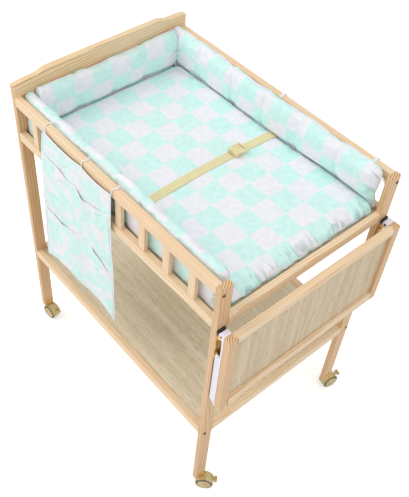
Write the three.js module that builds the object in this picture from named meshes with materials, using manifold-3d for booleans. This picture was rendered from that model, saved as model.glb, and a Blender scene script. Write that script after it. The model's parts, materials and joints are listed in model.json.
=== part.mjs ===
// Nursery changing table in pale pine: four posts on twin-wheel casters, a baluster gallery round a padded
// changing well, a storage shelf, a drop-leaf flap on two folding brackets and a hanging organizer.
// Millimetres, +Z up. +X runs along the table to the flap end, -Y is the long side with the organizer.
import * as THREE from 'three';
import { mergeVertices } from 'three/addons/utils/BufferGeometryUtils.js';
import Module from 'manifold-3d';

const wasm = await Module();
wasm.setup();

// Frame
const LENGTH = 780;
const WIDTH = 550;
const POST_THICK = 16;
const POST_WIDE = 33;
const POST_FOOT = 52;
const POST_TOP = 900;
const EDGE_EASE = 1.6;
const FIT = 0.3;
const OVERRUN = 5;

// Headboard plank on the two head posts
const HEAD_END_TALL = 34;
const HEAD_SHOULDER_TALL = 38;
const HEAD_CREST_TALL = 47;
const HEAD_SHOULDER_IN = 60;
const HEAD_CREST_IN = 100;

// Rails
const RAIL_THICK = 18;
const TOP_RAIL_TALL = 29;
const GALLERY_FOOT = 760;
const GALLERY_TALL = 27;
const END_RAIL_LIFT = 2;
const END_RAIL_TALL = 28;
const SHELF_RAIL_FOOT = 300;
const SHELF_RAIL_TALL = 26;
const GROOVE_DEEP = 5;

// Balusters
const BALUSTERS = 8;
const BALUSTER_WIDE = 22.5;
const BALUSTER_THICK = 11;
const BALUSTER_SETBACK = 3.5;
const BALUSTER_TENON = 10;
const BALUSTER_EASE = 2;

// Boards
const DECK_SEAT = 7;
const DECK_THICK = 9;
const SHELF_SEAT = 14;
const SHELF_THICK = 6;

// Drop-leaf flap
const FLAP_GAP = 23;
const FLAP_THICK = 20;
const FLAP_SIDE_GAP = 1;
const FLAP_TALL = 271;
const FLAP_DROP = 10;
const STILE_WIDE = 23;
const FLAP_FOOT_BAR = 28;
const FLAP_TOP_BAR = 18;
const PANEL_THICK = 5;
const PANEL_RECESS = 8;

// Folding brackets
const BRACKET_WIDE = 22;
const BRACKET_INSET = 12;
const SHEET = 1.5;
const STRIP_THICK = 2;
const STRIP_DROP = 104;
const PIN_R = 2;
const HINGE_OUT = 14;
const HINGE_DROP = 7;
const KNUCKLE_HALF = 7;
const KNUCKLE_ROUND = 3;
const CAP_THICK = 5;
const CAP_TALL = 13.5;
const CAP_RISE = 1.5;
const CAP_ROUND = 1.5;
const UPPER_EAR_R = 4.5;
const LOWER_EAR_R = 5;
const EAR_OUT = 6.8;
const BRACE_HALF_DEEP = 7.5;
const BRACE_ROUND_SHARE = 0.98;
const BRACE_WIDE = 17.8;
const BRACE_OUT = 10.2;
const BRACE_PIVOT_DROP = 82;
const BRACE_TIP_DROP = 263;
const BRACE_LUG_R = 5;
const BRACE_BACK_START = 11;
const ARM_LIP = 4.5;
const ARM_FOOT_DROP = 271;
const SLOT_OUT = 1;
const SLOT_WIDE = 4.4;
const SLOT_ROUND_SHARE = 0.45;
const SLOT_START_DROP = 155;
const SLOT_FLANGE_DEEP = 10;
const SLOT_FLANGE_OUT = 6.5;
const SLOT_FLANGE_LEAD = 6;

// Casters
const WHEEL_R = 23.5;
const WHEEL_OUT = 16;
const WHEEL_IN = 6.8;
const WHEEL_DISH = 1.6;
const WHEEL_RIM = 4.8;
const WHEEL_BEVEL = 1.6;
const WHEEL_BOSS_R = 7.6;
const AXLE_R = 3;
const TRAIL = 18;
const HOOD_R = 25.4;
const HOOD_SKIN = 1.2;
const HOOD_HALF = 13.4;
const HOOD_WEB_HALF = 6.2;
const HOOD_HUB_R = 7;
const HOOD_SKIRT_ANGLE = 8;
const HOOD_HUB_ANGLE = 30;
const SOCKET_R = 9;
const SOCKET_FOOT = 27;
const STEM_R = 4;
const STEM_LONG = 19;
const CASTER_PLATE = 2;
const CASTER_PLATE_WIDE = 26;
const CASTER_TAB_TALL = 20;
const CASTER_TAB_WIDE = 20;
const CASTER_SCREW_R = 2.2;
const PEDAL_PIVOT_R = 19.5;
const PEDAL_PIVOT_ANGLE = 40;
const PEDAL_PIN_R = 1.5;
const PEDAL_HUB_R = 3.6;
const PEDAL_ARM_HALF = 4.1;
const PEDAL_ARM_THICK = 3;
const PEDAL_REACH = 19;
const PEDAL_TREAD = 7.5;
const PEDAL_LIP = 3;
const PEDAL_HALF = 9;
const PEDAL_UP = 5;
const PEDAL_TRAVEL = 16;
const PEDAL_CLEAR_ANGLE = 3;
const TRAIL_ANGLES = { front_left: 8, front_right: 42, rear_left: 118, rear_right: 78 };

// Mattress, bumpers, strap
const MATTRESS_THICK = 35;
const MATTRESS_CROWN = 3;
const MATTRESS_HEAD_GAP = 26;
const MATTRESS_FOOT_GAP = 8;
const MATTRESS_CORNER = 24;
const MATTRESS_DRAW_IN = 3;
const PLAN_FLAT_SHARE = 1.48;
const GATHER_LONG = 40;
const GATHER_DEEP = 1;
const GATHER_FROM_SHARE = 0.9;
const BUMPER_TALL = 127;
const BUMPER_THICK = 34;
const BUMPER_FOOT_THICK = 20;
const BUMPER_END_GAP = 8;
const BUMPER_PUFF = 2;
const BUMPER_PUFF_FROM_SHARE = 0.5;
const BUMPER_END_RUN = 21;
const BUMPER_END_THICK_SHARE = 0.28;
const BUMPER_END_TALL_SHARE = 0.9;
const LONG_BUMPER_PUFFS = 6;
const HEAD_BUMPER_PUFFS = 4;
const LOOP_ROOM = 4.6;
const STRAP_WIDE = 25;
const STRAP_THICK = 1.6;
const STRAP_X = 40;
const STRAP_SWAY = 5;
const STRAP_LIFT = 0.9;
const STRAP_FRONT_STEPS = 16;
const STRAP_REAR_STEPS = 10;
const BUCKLE_X = 38;
const BUCKLE_Y = 104;
const BUCKLE_WIDE = 33;
const BUCKLE_THICK = 9;
const SOCKET_LONG = 24;
const PLUG_LONG = 14;
const BUCKLE_WALL = 2;
const BUCKLE_BAR = 4;
const WINDOW_SHARES = [0.35, 0.72];
const PRONG_WIDE = 4.5;
const PRONG_LONG = 17;
const BUCKLE_ROUND = 3;

// Hanging organizer
const ORGANIZER_RIGHT = 30;
const ORGANIZER_WIDE = 312;
const ORGANIZER_TOP_WIDE = 272;
const ORGANIZER_DROP = 16;
const ORGANIZER_TALL = 478;
const CLOTH_THICK = 3;
const POCKET_PROUD = 3.5;
const POCKET_MOUTH_SHARES = [0.18, 0.56];
const POCKET_HEM_SHARES = [0.52, 0.985];
const POCKET_FLATTEN_SHARE = 0.6;
const FOLD_DEEP = 2.2;
const FOLD_ACROSS = [72, 620];
const FOLD_ALONG = [470, 180];
const LOOP_R = 1.6;
const LOOP_SHARES = [0.02, 0.57, 0.99];
const LOOP_ROUND = 4;

// Straight steps that a curve in an outline is drawn with; a full circle has twice as many
const CURVE_STEPS = 5;
const EASE_STEPS = 1;
const CORNER_STEPS = 2;
const DOME_STEPS = 8;
const PIN_SIDES = 10;
const WHEEL_SIDES = 20;
const WELL_SIDES = 24;
const MATTRESS_PLAN_STEPS = 64;
const BUMPER_STEPS = 22;
const ORGANIZER_COLUMNS = 18;
const POCKET_ROWS = 5;
const CORD_SIDES = 6;
const CORD_CORNER_STEPS = 3;
const STEM_SIDES = 12;

const X = new THREE.Vector3(1, 0, 0);
const Y = new THREE.Vector3(0, 1, 0);
const Z = new THREE.Vector3(0, 0, 1);
const DOWN = Z.clone().negate();
const rad = THREE.MathUtils.degToRad;

// Heights and widths that several pieces share
const DECK_TOP = GALLERY_FOOT + DECK_SEAT + DECK_THICK;
const SHELF_TOP = SHELF_RAIL_FOOT + SHELF_SEAT + SHELF_THICK;
const END_RAIL_FOOT = GALLERY_FOOT + END_RAIL_LIFT;
const FLAP_TOP = DECK_TOP - FLAP_DROP;
const FLAP_FOOT = FLAP_TOP - FLAP_TALL;
const FLAP_WIDTH = WIDTH - 2 * FLAP_SIDE_GAP;
const POST_INNER_X = LENGTH / 2 - POST_THICK;
const POST_INNER_Y = WIDTH / 2 - POST_WIDE;
const RAIL_INNER_Y = WIDTH / 2 - RAIL_THICK;
const TOP_RAIL_FOOT = POST_TOP - TOP_RAIL_TALL;

const FINISH = {
  pine: new THREE.MeshStandardMaterial({ color: 0xe9c79b, roughness: 0.55, metalness: 0 }),
  plywood: new THREE.MeshStandardMaterial({ color: 0xc9b795, roughness: 0.6, metalness: 0 }),
  whiteSteel: new THREE.MeshStandardMaterial({ color: 0xf1eef6, roughness: 0.35, metalness: 0.2 }),
  zinc: new THREE.MeshStandardMaterial({ color: 0xc79a4e, roughness: 0.4, metalness: 0.8 }),
  blackPlastic: new THREE.MeshStandardMaterial({ color: 0x141414, roughness: 0.5, metalness: 0 }),
  creamPlastic: new THREE.MeshStandardMaterial({ color: 0xd9c48f, roughness: 0.45, metalness: 0 }),
  cotton: new THREE.MeshStandardMaterial({ color: 0xcdf3ea, roughness: 0.9, metalness: 0 }),
  webbing: new THREE.MeshStandardMaterial({ color: 0xe8dba6, roughness: 0.85, metalness: 0 }),
  whiteCord: new THREE.MeshStandardMaterial({ color: 0xf6f6f4, roughness: 0.85, metalness: 0 }),
};

const table = new THREE.Group();

function place(name, geometry, material, parent = table) {
  const mesh = new THREE.Mesh(geometry, material);
  mesh.name = name;
  parent.add(mesh);
  return mesh;
}

// Joining and cutting closed meshes
function toSolid(geometry) {
  const bare = geometry.clone();
  bare.deleteAttribute('normal');
  bare.deleteAttribute('uv');
  const merged = mergeVertices(bare);
  return new wasm.Manifold(new wasm.Mesh({
    numProp: 3,
    vertProperties: new Float32Array(merged.attributes.position.array),
    triVerts: new Uint32Array(merged.index.array),
  }));
}

function toGeometry(solid) {
  const mesh = solid.getMesh();
  const geometry = new THREE.BufferGeometry();
  geometry.setAttribute('position', new THREE.BufferAttribute(new Float32Array(mesh.vertProperties), 3));
  geometry.setIndex(new THREE.BufferAttribute(new Uint32Array(mesh.triVerts), 1));
  return geometry;
}

function join(...geometries) {
  return toGeometry(geometries.map(toSolid).reduce((whole, solid) => whole.add(solid)));
}

function cut(geometry, ...tools) {
  return toGeometry(tools.map(toSolid).reduce((whole, tool) => whole.subtract(tool), toSolid(geometry)));
}

// An outline in the u, v plane, made thick about its middle along u x v
function prism(shape, long, u, v, curveSegments = CURVE_STEPS) {
  const geometry = new THREE.ExtrudeGeometry(shape, {
    depth: long, bevelEnabled: false, curveSegments,
  });
  geometry.translate(0, 0, -long / 2);
  return geometry.applyMatrix4(new THREE.Matrix4().makeBasis(u, v, u.clone().cross(v)));
}

// A side outline in x and z, made thick along y
const sidePlate = (shape, thick, steps) => prism(shape, thick, X, Z, steps);

function outline(points) {
  return new THREE.Shape(points.map(([u, v]) => new THREE.Vector2(u, v)));
}

function roundedRectangle(left, right, low, high, round) {
  const shape = new THREE.Shape();
  shape.moveTo(left + round, low);
  shape.lineTo(right - round, low);
  shape.absarc(right - round, low + round, round, -Math.PI / 2, 0, false);
  shape.lineTo(right, high - round);
  shape.absarc(right - round, high - round, round, 0, Math.PI / 2, false);
  shape.lineTo(left + round, high);
  shape.absarc(left + round, high - round, round, Math.PI / 2, Math.PI, false);
  shape.lineTo(left, low + round);
  shape.absarc(left + round, low + round, round, Math.PI, Math.PI * 1.5, false);
  return shape;
}

// A box between two corners
function block(low, high) {
  const size = high.map((value, i) => value - low[i]);
  const middle = high.map((value, i) => (value + low[i]) / 2);
  return new THREE.BoxGeometry(...size).translate(...middle);
}

// A round bar along y, centred on x, z
function rod(radius, long, x, z, sides = PIN_SIDES) {
  return new THREE.CylinderGeometry(radius, radius, long, sides).translate(x, 0, z);
}

// A hole tool whose flats stay clear of a bar of the given radius
function clearHole(radius, long, x, z, sides = PIN_SIDES) {
  return rod((radius + FIT) / Math.cos(Math.PI / sides), long, x, z, sides);
}

// Planed timber: a bar with eased long edges, along u x v
function timber(wide, tall, long, u, v, ease = EDGE_EASE) {
  return prism(roundedRectangle(-wide / 2, wide / 2, 0, tall, ease), long, u, v, EASE_STEPS);
}

// The same with a groove for a board in its +u face, between two heights above its foot
function groovedTimber(wide, tall, long, u, v, grooveLow, grooveHigh) {
  const half = wide / 2;
  const bed = half - GROOVE_DEEP;
  return prism(outline([
    [-half + EDGE_EASE, 0], [half - EDGE_EASE, 0], [half, EDGE_EASE],
    [half, grooveLow], [bed, grooveLow], [bed, grooveHigh], [half, grooveHigh],
    [half, tall - EDGE_EASE], [half - EDGE_EASE, tall],
    [-half + EDGE_EASE, tall], [-half, tall - EDGE_EASE], [-half, EDGE_EASE],
  ]), long, u, v);
}

const CORNERS = [
  ['front_left', -1, -1], ['front_right', 1, -1], ['rear_left', -1, 1], ['rear_right', 1, 1],
];
const SIDES = [['front', -1], ['rear', 1]];
const POST_X = (LENGTH - POST_THICK) / 2;
const POST_Y = (WIDTH - POST_WIDE) / 2;

function post() {
  return prism(
    roundedRectangle(-POST_THICK / 2, POST_THICK / 2, -POST_WIDE / 2, POST_WIDE / 2, EDGE_EASE),
    POST_TOP - POST_FOOT, X, Y, EASE_STEPS);
}

for (const [corner, sideX, sideY] of CORNERS) {
  const mesh = place(corner + '_post', post(), FINISH.pine);
  mesh.position.set(sideX * POST_X, sideY * POST_Y, (POST_TOP + POST_FOOT) / 2);
}

// Headboard plank: low ends, a soft shoulder each side and a nearly straight crest
function headboard() {
  const end = WIDTH / 2;
  const shoulder = end - HEAD_SHOULDER_IN;
  const crest = end - HEAD_CREST_IN;
  const shape = new THREE.Shape();
  shape.moveTo(-end, 0);
  shape.lineTo(end, 0);
  shape.lineTo(end, HEAD_END_TALL - EDGE_EASE);
  shape.quadraticCurveTo(end, HEAD_END_TALL, end - EDGE_EASE, HEAD_END_TALL);
  shape.quadraticCurveTo(end - HEAD_SHOULDER_IN / 2, HEAD_SHOULDER_TALL, shoulder, HEAD_SHOULDER_TALL);
  shape.bezierCurveTo((shoulder + crest) / 2, HEAD_SHOULDER_TALL, (shoulder + crest) / 2, HEAD_CREST_TALL,
    crest, HEAD_CREST_TALL);
  shape.lineTo(-crest, HEAD_CREST_TALL);
  shape.bezierCurveTo(-(shoulder + crest) / 2, HEAD_CREST_TALL, -(shoulder + crest) / 2, HEAD_SHOULDER_TALL,
    -shoulder, HEAD_SHOULDER_TALL);
  shape.quadraticCurveTo(-end + HEAD_SHOULDER_IN / 2, HEAD_SHOULDER_TALL, -end + EDGE_EASE, HEAD_END_TALL);
  shape.quadraticCurveTo(-end, HEAD_END_TALL, -end, HEAD_END_TALL - EDGE_EASE);
  return prism(shape, POST_THICK, Y, Z);
}
place('headboard', headboard(), FINISH.pine).position.set(-POST_X, 0, POST_TOP);

// Long sides: top rail, gallery of balusters on its grooved rail, and shelf rail
const railLong = 2 * POST_INNER_X;
const deckGroove = [DECK_TOP - DECK_THICK - FIT, DECK_TOP + FIT];
const shelfGroove = [SHELF_TOP - SHELF_THICK - FIT, SHELF_TOP + FIT];

function gallery(inward) {
  const rail = groovedTimber(RAIL_THICK, GALLERY_TALL, railLong, inward, Z,
    deckGroove[0] - GALLERY_FOOT, deckGroove[1] - GALLERY_FOOT);
  const foot = GALLERY_TALL - BALUSTER_TENON;
  const tall = TOP_RAIL_FOOT - GALLERY_FOOT - foot;
  const gap = (railLong - BALUSTERS * BALUSTER_WIDE) / (BALUSTERS + 1);
  const outerFace = RAIL_THICK / 2 - BALUSTER_SETBACK;
  const bars = [];
  for (let i = 0; i < BALUSTERS; i += 1) {
    const x = -railLong / 2 + gap + BALUSTER_WIDE / 2 + i * (gap + BALUSTER_WIDE);
    const section = roundedRectangle(-BALUSTER_WIDE / 2, BALUSTER_WIDE / 2,
      -BALUSTER_THICK / 2, BALUSTER_THICK / 2, BALUSTER_EASE);
    const y = -inward.y * (outerFace - BALUSTER_THICK / 2);
    bars.push(prism(section, tall, X, Y, EASE_STEPS).translate(x, y, foot + tall / 2));
  }
  return join(rail, ...bars);
}

for (const [side, sideY] of SIDES) {
  const inward = Y.clone().multiplyScalar(-sideY);
  const y = sideY * (WIDTH - RAIL_THICK) / 2;
  const topRail = timber(RAIL_THICK, TOP_RAIL_TALL, railLong, inward, Z, 2 * EDGE_EASE);
  place(side + '_top_rail', topRail, FINISH.pine).position.set(0, y, TOP_RAIL_FOOT);
  place(side + '_gallery', gallery(inward), FINISH.pine).position.set(0, y, GALLERY_FOOT);
  place(side + '_shelf_rail', groovedTimber(RAIL_THICK, SHELF_RAIL_TALL, railLong, inward, Z,
    shelfGroove[0] - SHELF_RAIL_FOOT, shelfGroove[1] - SHELF_RAIL_FOOT), FINISH.pine)
    .position.set(0, y, SHELF_RAIL_FOOT);
}

// Ends: one rail under the changing deck and one at the shelf, each between its two posts
for (const [end, sideX] of [['left', -1], ['right', 1]]) {
  const inward = X.clone().multiplyScalar(-sideX);
  const long = 2 * POST_INNER_Y;
  place(end + '_end_rail', groovedTimber(POST_THICK, END_RAIL_TALL, long, inward, Z,
    deckGroove[0] - END_RAIL_FOOT, deckGroove[1] - END_RAIL_FOOT), FINISH.pine)
    .position.set(sideX * POST_X, 0, END_RAIL_FOOT);
  place(end + '_shelf_rail', groovedTimber(POST_THICK, SHELF_RAIL_TALL, long, inward, Z,
    shelfGroove[0] - SHELF_RAIL_FOOT, shelfGroove[1] - SHELF_RAIL_FOOT), FINISH.pine)
    .position.set(sideX * POST_X, 0, SHELF_RAIL_FOOT);
}

// A fifth end rail closes the gap between the headboard and the head bumper
place('head_rail', timber(POST_THICK, TOP_RAIL_TALL, 2 * POST_INNER_Y, X, Z), FINISH.pine)
  .position.set(-POST_X, 0, TOP_RAIL_FOOT);

// Boards: tongues reach into all four grooves, corners are notched round the posts
function board(thick) {
  const tongue = GROOVE_DEEP - FIT;
  const bodyX = POST_INNER_X - FIT;
  const bodyY = POST_INNER_Y - FIT;
  const reachX = POST_INNER_X + tongue;
  const reachY = RAIL_INNER_Y + tongue;
  return prism(outline([
    [-bodyX, -reachY], [bodyX, -reachY], [bodyX, -bodyY], [reachX, -bodyY],
    [reachX, bodyY], [bodyX, bodyY], [bodyX, reachY], [-bodyX, reachY],
    [-bodyX, bodyY], [-reachX, bodyY], [-reachX, -bodyY], [-bodyX, -bodyY],
  ]), thick, X, Y);
}
place('mattress_board', board(DECK_THICK), FINISH.plywood).position.z = DECK_TOP - DECK_THICK / 2;
place('shelf_board', board(SHELF_THICK), FINISH.plywood).position.z = SHELF_TOP - SHELF_THICK / 2;

// Drop-leaf flap: stiles run full height, bars between them, panel in grooves all round
const flapBack = LENGTH / 2 + FLAP_GAP;
const panelLow = FLAP_THICK - PANEL_RECESS - PANEL_THICK;
const panelHigh = FLAP_THICK - PANEL_RECESS;

function flapTimber(wide, long, inward) {
  return groovedTimber(wide, FLAP_THICK, long, inward, X, panelLow - FIT, panelHigh + FIT);
}

function flapPanel() {
  const tongue = GROOVE_DEEP - FIT;
  const halfWide = FLAP_WIDTH / 2 - STILE_WIDE + tongue;
  return block([panelLow, -halfWide, FLAP_FOOT + FLAP_FOOT_BAR - tongue],
    [panelHigh, halfWide, FLAP_TOP - FLAP_TOP_BAR + tongue]);
}

for (const [side, sideY] of SIDES) {
  const inward = Y.clone().multiplyScalar(-sideY);
  place('flap_' + side + '_stile', flapTimber(STILE_WIDE, FLAP_TOP - FLAP_FOOT, inward), FINISH.pine)
    .position.set(flapBack, sideY * (FLAP_WIDTH - STILE_WIDE) / 2, (FLAP_TOP + FLAP_FOOT) / 2);
}
const flapBarLong = FLAP_WIDTH - 2 * STILE_WIDE;
place('flap_top_bar', flapTimber(FLAP_TOP_BAR, flapBarLong, DOWN), FINISH.pine)
  .position.set(flapBack, 0, FLAP_TOP - FLAP_TOP_BAR / 2);
place('flap_foot_bar', flapTimber(FLAP_FOOT_BAR, flapBarLong, Z), FINISH.pine)
  .position.set(flapBack, 0, FLAP_FOOT + FLAP_FOOT_BAR / 2);
place('flap_panel', flapPanel(), FINISH.plywood).position.x = flapBack;

// Folding brackets. Local x runs out from the post's face and local z is measured from the hinge pin.
const flapX = FLAP_GAP;
const stripFoot = HINGE_DROP - STRIP_DROP;
const stripTop = CAP_RISE + HINGE_DROP - CAP_TALL;
const earPlane = EAR_OUT - SHEET / 2;

function disc(x, z, radius) {
  const shape = new THREE.Shape();
  shape.absarc(x, z, radius, 0, 2 * Math.PI, false);
  return shape;
}

// Fixed arm: strip screwed to the post, two pairs of ears, the hinge pin and the brace's pin
function fixedArm() {
  const lift = 2 * UPPER_EAR_R;
  const upperEar = outline([
    [STRIP_THICK / 2, stripTop - 3 * lift], [HINGE_OUT + UPPER_EAR_R / 2, -lift],
    [HINGE_OUT + UPPER_EAR_R, 0], [HINGE_OUT, UPPER_EAR_R], [HINGE_OUT - UPPER_EAR_R, 0],
    [HINGE_OUT - UPPER_EAR_R, -lift], [STRIP_THICK / 2, stripTop - lift],
  ]);
  const lowerEar = outline([
    [STRIP_THICK / 2, -BRACE_PIVOT_DROP - 2 * LOWER_EAR_R], [BRACE_OUT, -BRACE_PIVOT_DROP - LOWER_EAR_R],
    [BRACE_OUT, -BRACE_PIVOT_DROP + LOWER_EAR_R], [STRIP_THICK / 2, -BRACE_PIVOT_DROP + 2 * LOWER_EAR_R],
  ]);
  const parts = [block([0, -BRACKET_WIDE / 2, stripFoot], [STRIP_THICK, BRACKET_WIDE / 2, stripTop])];
  for (const side of [-1, 1]) {
    for (const shape of [upperEar, disc(HINGE_OUT, 0, UPPER_EAR_R), lowerEar,
      disc(BRACE_OUT, -BRACE_PIVOT_DROP, LOWER_EAR_R)]) {
      parts.push(sidePlate(shape, SHEET).translate(0, side * earPlane, 0));
    }
  }
  parts.push(rod(PIN_R, BRACKET_WIDE, HINGE_OUT, 0));
  parts.push(rod(PIN_R, BRACE_WIDE, BRACE_OUT, -BRACE_PIVOT_DROP));
  return join(...parts);
}

// Moving arm: boxed knuckle, a strip with two lips along the stile and two slotted flanges for the brace
function movingArm() {
  const left = HINGE_OUT - KNUCKLE_HALF;
  const lipX = flapX - ARM_LIP;
  const neck = 3 * KNUCKLE_HALF;
  const shape = new THREE.Shape();
  shape.moveTo(flapX, HINGE_DROP);
  const bendX = left + KNUCKLE_ROUND;
  const bendZ = KNUCKLE_HALF - KNUCKLE_ROUND;
  shape.lineTo(bendX, KNUCKLE_HALF);
  shape.absarc(bendX, bendZ, KNUCKLE_ROUND, Math.PI / 2, Math.PI, false);
  shape.lineTo(left, -bendZ);
  shape.absarc(bendX, -bendZ, KNUCKLE_ROUND, Math.PI, Math.PI * 1.5, false);
  shape.quadraticCurveTo(lipX, -KNUCKLE_HALF, lipX, -neck);
  shape.lineTo(lipX, -ARM_FOOT_DROP + ARM_LIP / 2);
  shape.lineTo(lipX + ARM_LIP / 2, -ARM_FOOT_DROP);
  shape.lineTo(flapX, -ARM_FOOT_DROP);
  const hollow = block([-OVERRUN, -BRACKET_WIDE / 2 + SHEET, -ARM_FOOT_DROP - OVERRUN],
    [flapX - STRIP_THICK, BRACKET_WIDE / 2 - SHEET, KNUCKLE_HALF - SHEET]);
  const channel = cut(sidePlate(shape, BRACKET_WIDE, CORNER_STEPS), hollow,
    clearHole(PIN_R, BRACKET_WIDE + OVERRUN, HINGE_OUT, 0));

  const slotX = HINGE_OUT + SLOT_OUT;
  const flangeX = flapX - STRIP_THICK - SLOT_FLANGE_DEEP;
  const top = -SLOT_START_DROP + SLOT_FLANGE_LEAD;
  const flange = outline([
    [flapX - STRIP_THICK / 2, top], [flapX - STRIP_THICK - SHEET, top], [flangeX, top - SLOT_FLANGE_LEAD],
    [flangeX, -ARM_FOOT_DROP + SLOT_FLANGE_LEAD], [flangeX + SLOT_FLANGE_LEAD, -ARM_FOOT_DROP],
    [flapX - STRIP_THICK / 2, -ARM_FOOT_DROP],
  ]);
  flange.holes.push(roundedRectangle(slotX - SLOT_WIDE / 2, slotX + SLOT_WIDE / 2,
    -BRACE_TIP_DROP - SLOT_WIDE / 2, -SLOT_START_DROP, SLOT_WIDE * SLOT_ROUND_SHARE));
  const flanges = [-1, 1].map((side) => sidePlate(flange, SHEET, CORNER_STEPS)
    .translate(0, side * (SLOT_FLANGE_OUT - SHEET / 2), 0));
  return join(channel, ...flanges);
}

// Brace: a channel with its back to the post, a pivot hole at the top and a lug for the slide pin
function brace() {
  const inner = BRACE_WIDE - 2 * SHEET;
  const left = BRACE_OUT - BRACE_HALF_DEEP;
  const right = BRACE_OUT + BRACE_HALF_DEEP;
  const top = -BRACE_PIVOT_DROP + BRACE_HALF_DEEP;
  const foot = -BRACE_TIP_DROP;
  const round = BRACE_HALF_DEEP * BRACE_ROUND_SHARE;
  const bar = sidePlate(roundedRectangle(left, right, foot, top, round), BRACE_WIDE, CORNER_STEPS);
  const lug = sidePlate(disc(HINGE_OUT + SLOT_OUT, foot, BRACE_LUG_R), BRACE_WIDE);
  const behind = block([left + SHEET, -inner / 2, foot - BRACE_LUG_R - OVERRUN],
    [right + OVERRUN, inner / 2, top + OVERRUN]);
  const backCut = block([left - OVERRUN, -inner / 2, -BRACE_PIVOT_DROP - BRACE_BACK_START],
    [right, inner / 2, top + OVERRUN]);
  const slidePin = rod(PIN_R, BRACE_WIDE, HINGE_OUT + SLOT_OUT, foot);
  const pinRoom = block([left, -inner / 2 + FIT, foot - OVERRUN],
    [right + OVERRUN, inner / 2 - FIT, foot + OVERRUN]);
  const pivotHole = clearHole(PIN_R, BRACE_WIDE + OVERRUN, BRACE_OUT, -BRACE_PIVOT_DROP);
  return join(
    cut(join(bar, lug), behind, backCut, pivotHole),
    cut(slidePin, pinRoom, block([left, -BRACE_WIDE / 2, foot - OVERRUN],
      [right + OVERRUN, -inner / 2 - FIT, foot + OVERRUN])));
}

function bracketCap() {
  const shape = roundedRectangle(0, CAP_THICK, stripTop, stripTop + CAP_TALL, CAP_ROUND);
  return sidePlate(shape, BRACKET_WIDE, CORNER_STEPS);
}

for (const [side, sideY] of SIDES) {
  const bracket = new THREE.Group();
  bracket.position.set(LENGTH / 2, sideY * (WIDTH / 2 - BRACKET_INSET), FLAP_TOP - HINGE_DROP);
  table.add(bracket);
  place(side + '_bracket_fixed_arm', fixedArm(), FINISH.zinc, bracket);
  place(side + '_bracket_moving_arm', movingArm(), FINISH.whiteSteel, bracket);
  place(side + '_bracket_brace', brace(), FINISH.whiteSteel, bracket);
  place(side + '_bracket_cap', bracketCap(), FINISH.blackPlastic, bracket);
}

// Casters. Local x trails from the swivel axis to the axle, local y runs along the axle.
const pedalPivotX = TRAIL + PEDAL_PIVOT_R * Math.cos(rad(PEDAL_PIVOT_ANGLE));
const pedalPivotZ = WHEEL_R + PEDAL_PIVOT_R * Math.sin(rad(PEDAL_PIVOT_ANGLE));
const stemTop = POST_FOOT - CASTER_PLATE;

// A round bar standing on the local z axis between two heights
function upright(radius, low, high, sides) {
  return new THREE.CylinderGeometry(radius, radius, high - low, sides).rotateX(Math.PI / 2)
    .translate(0, 0, (high + low) / 2);
}

// Leg bracket: plate under the post, a round-topped tab up its face with a screw hole, and the swivel stem
function legBracket() {
  const plate = block([-POST_THICK / 2, -CASTER_PLATE_WIDE / 2, stemTop],
    [POST_THICK / 2 + CASTER_PLATE, CASTER_PLATE_WIDE / 2, POST_FOOT]);
  const half = CASTER_TAB_WIDE / 2;
  const tab = new THREE.Shape();
  tab.moveTo(-half, -CASTER_PLATE / 2);
  tab.lineTo(half, -CASTER_PLATE / 2);
  tab.lineTo(half, CASTER_TAB_TALL - half);
  tab.absarc(0, CASTER_TAB_TALL - half, half, 0, Math.PI, false);
  tab.lineTo(-half, -CASTER_PLATE / 2);
  const hole = new THREE.Path();
  hole.absarc(0, CASTER_TAB_TALL - half, CASTER_SCREW_R, 0, 2 * Math.PI, true);
  tab.holes.push(hole);
  const riser = prism(tab, CASTER_PLATE, Y, Z)
    .translate(POST_THICK / 2 + CASTER_PLATE / 2, 0, POST_FOOT);
  const stem = upright(STEM_R, stemTop - STEM_LONG, stemTop + CASTER_PLATE / 2, STEM_SIDES);
  return join(plate, riser, stem);
}

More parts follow.
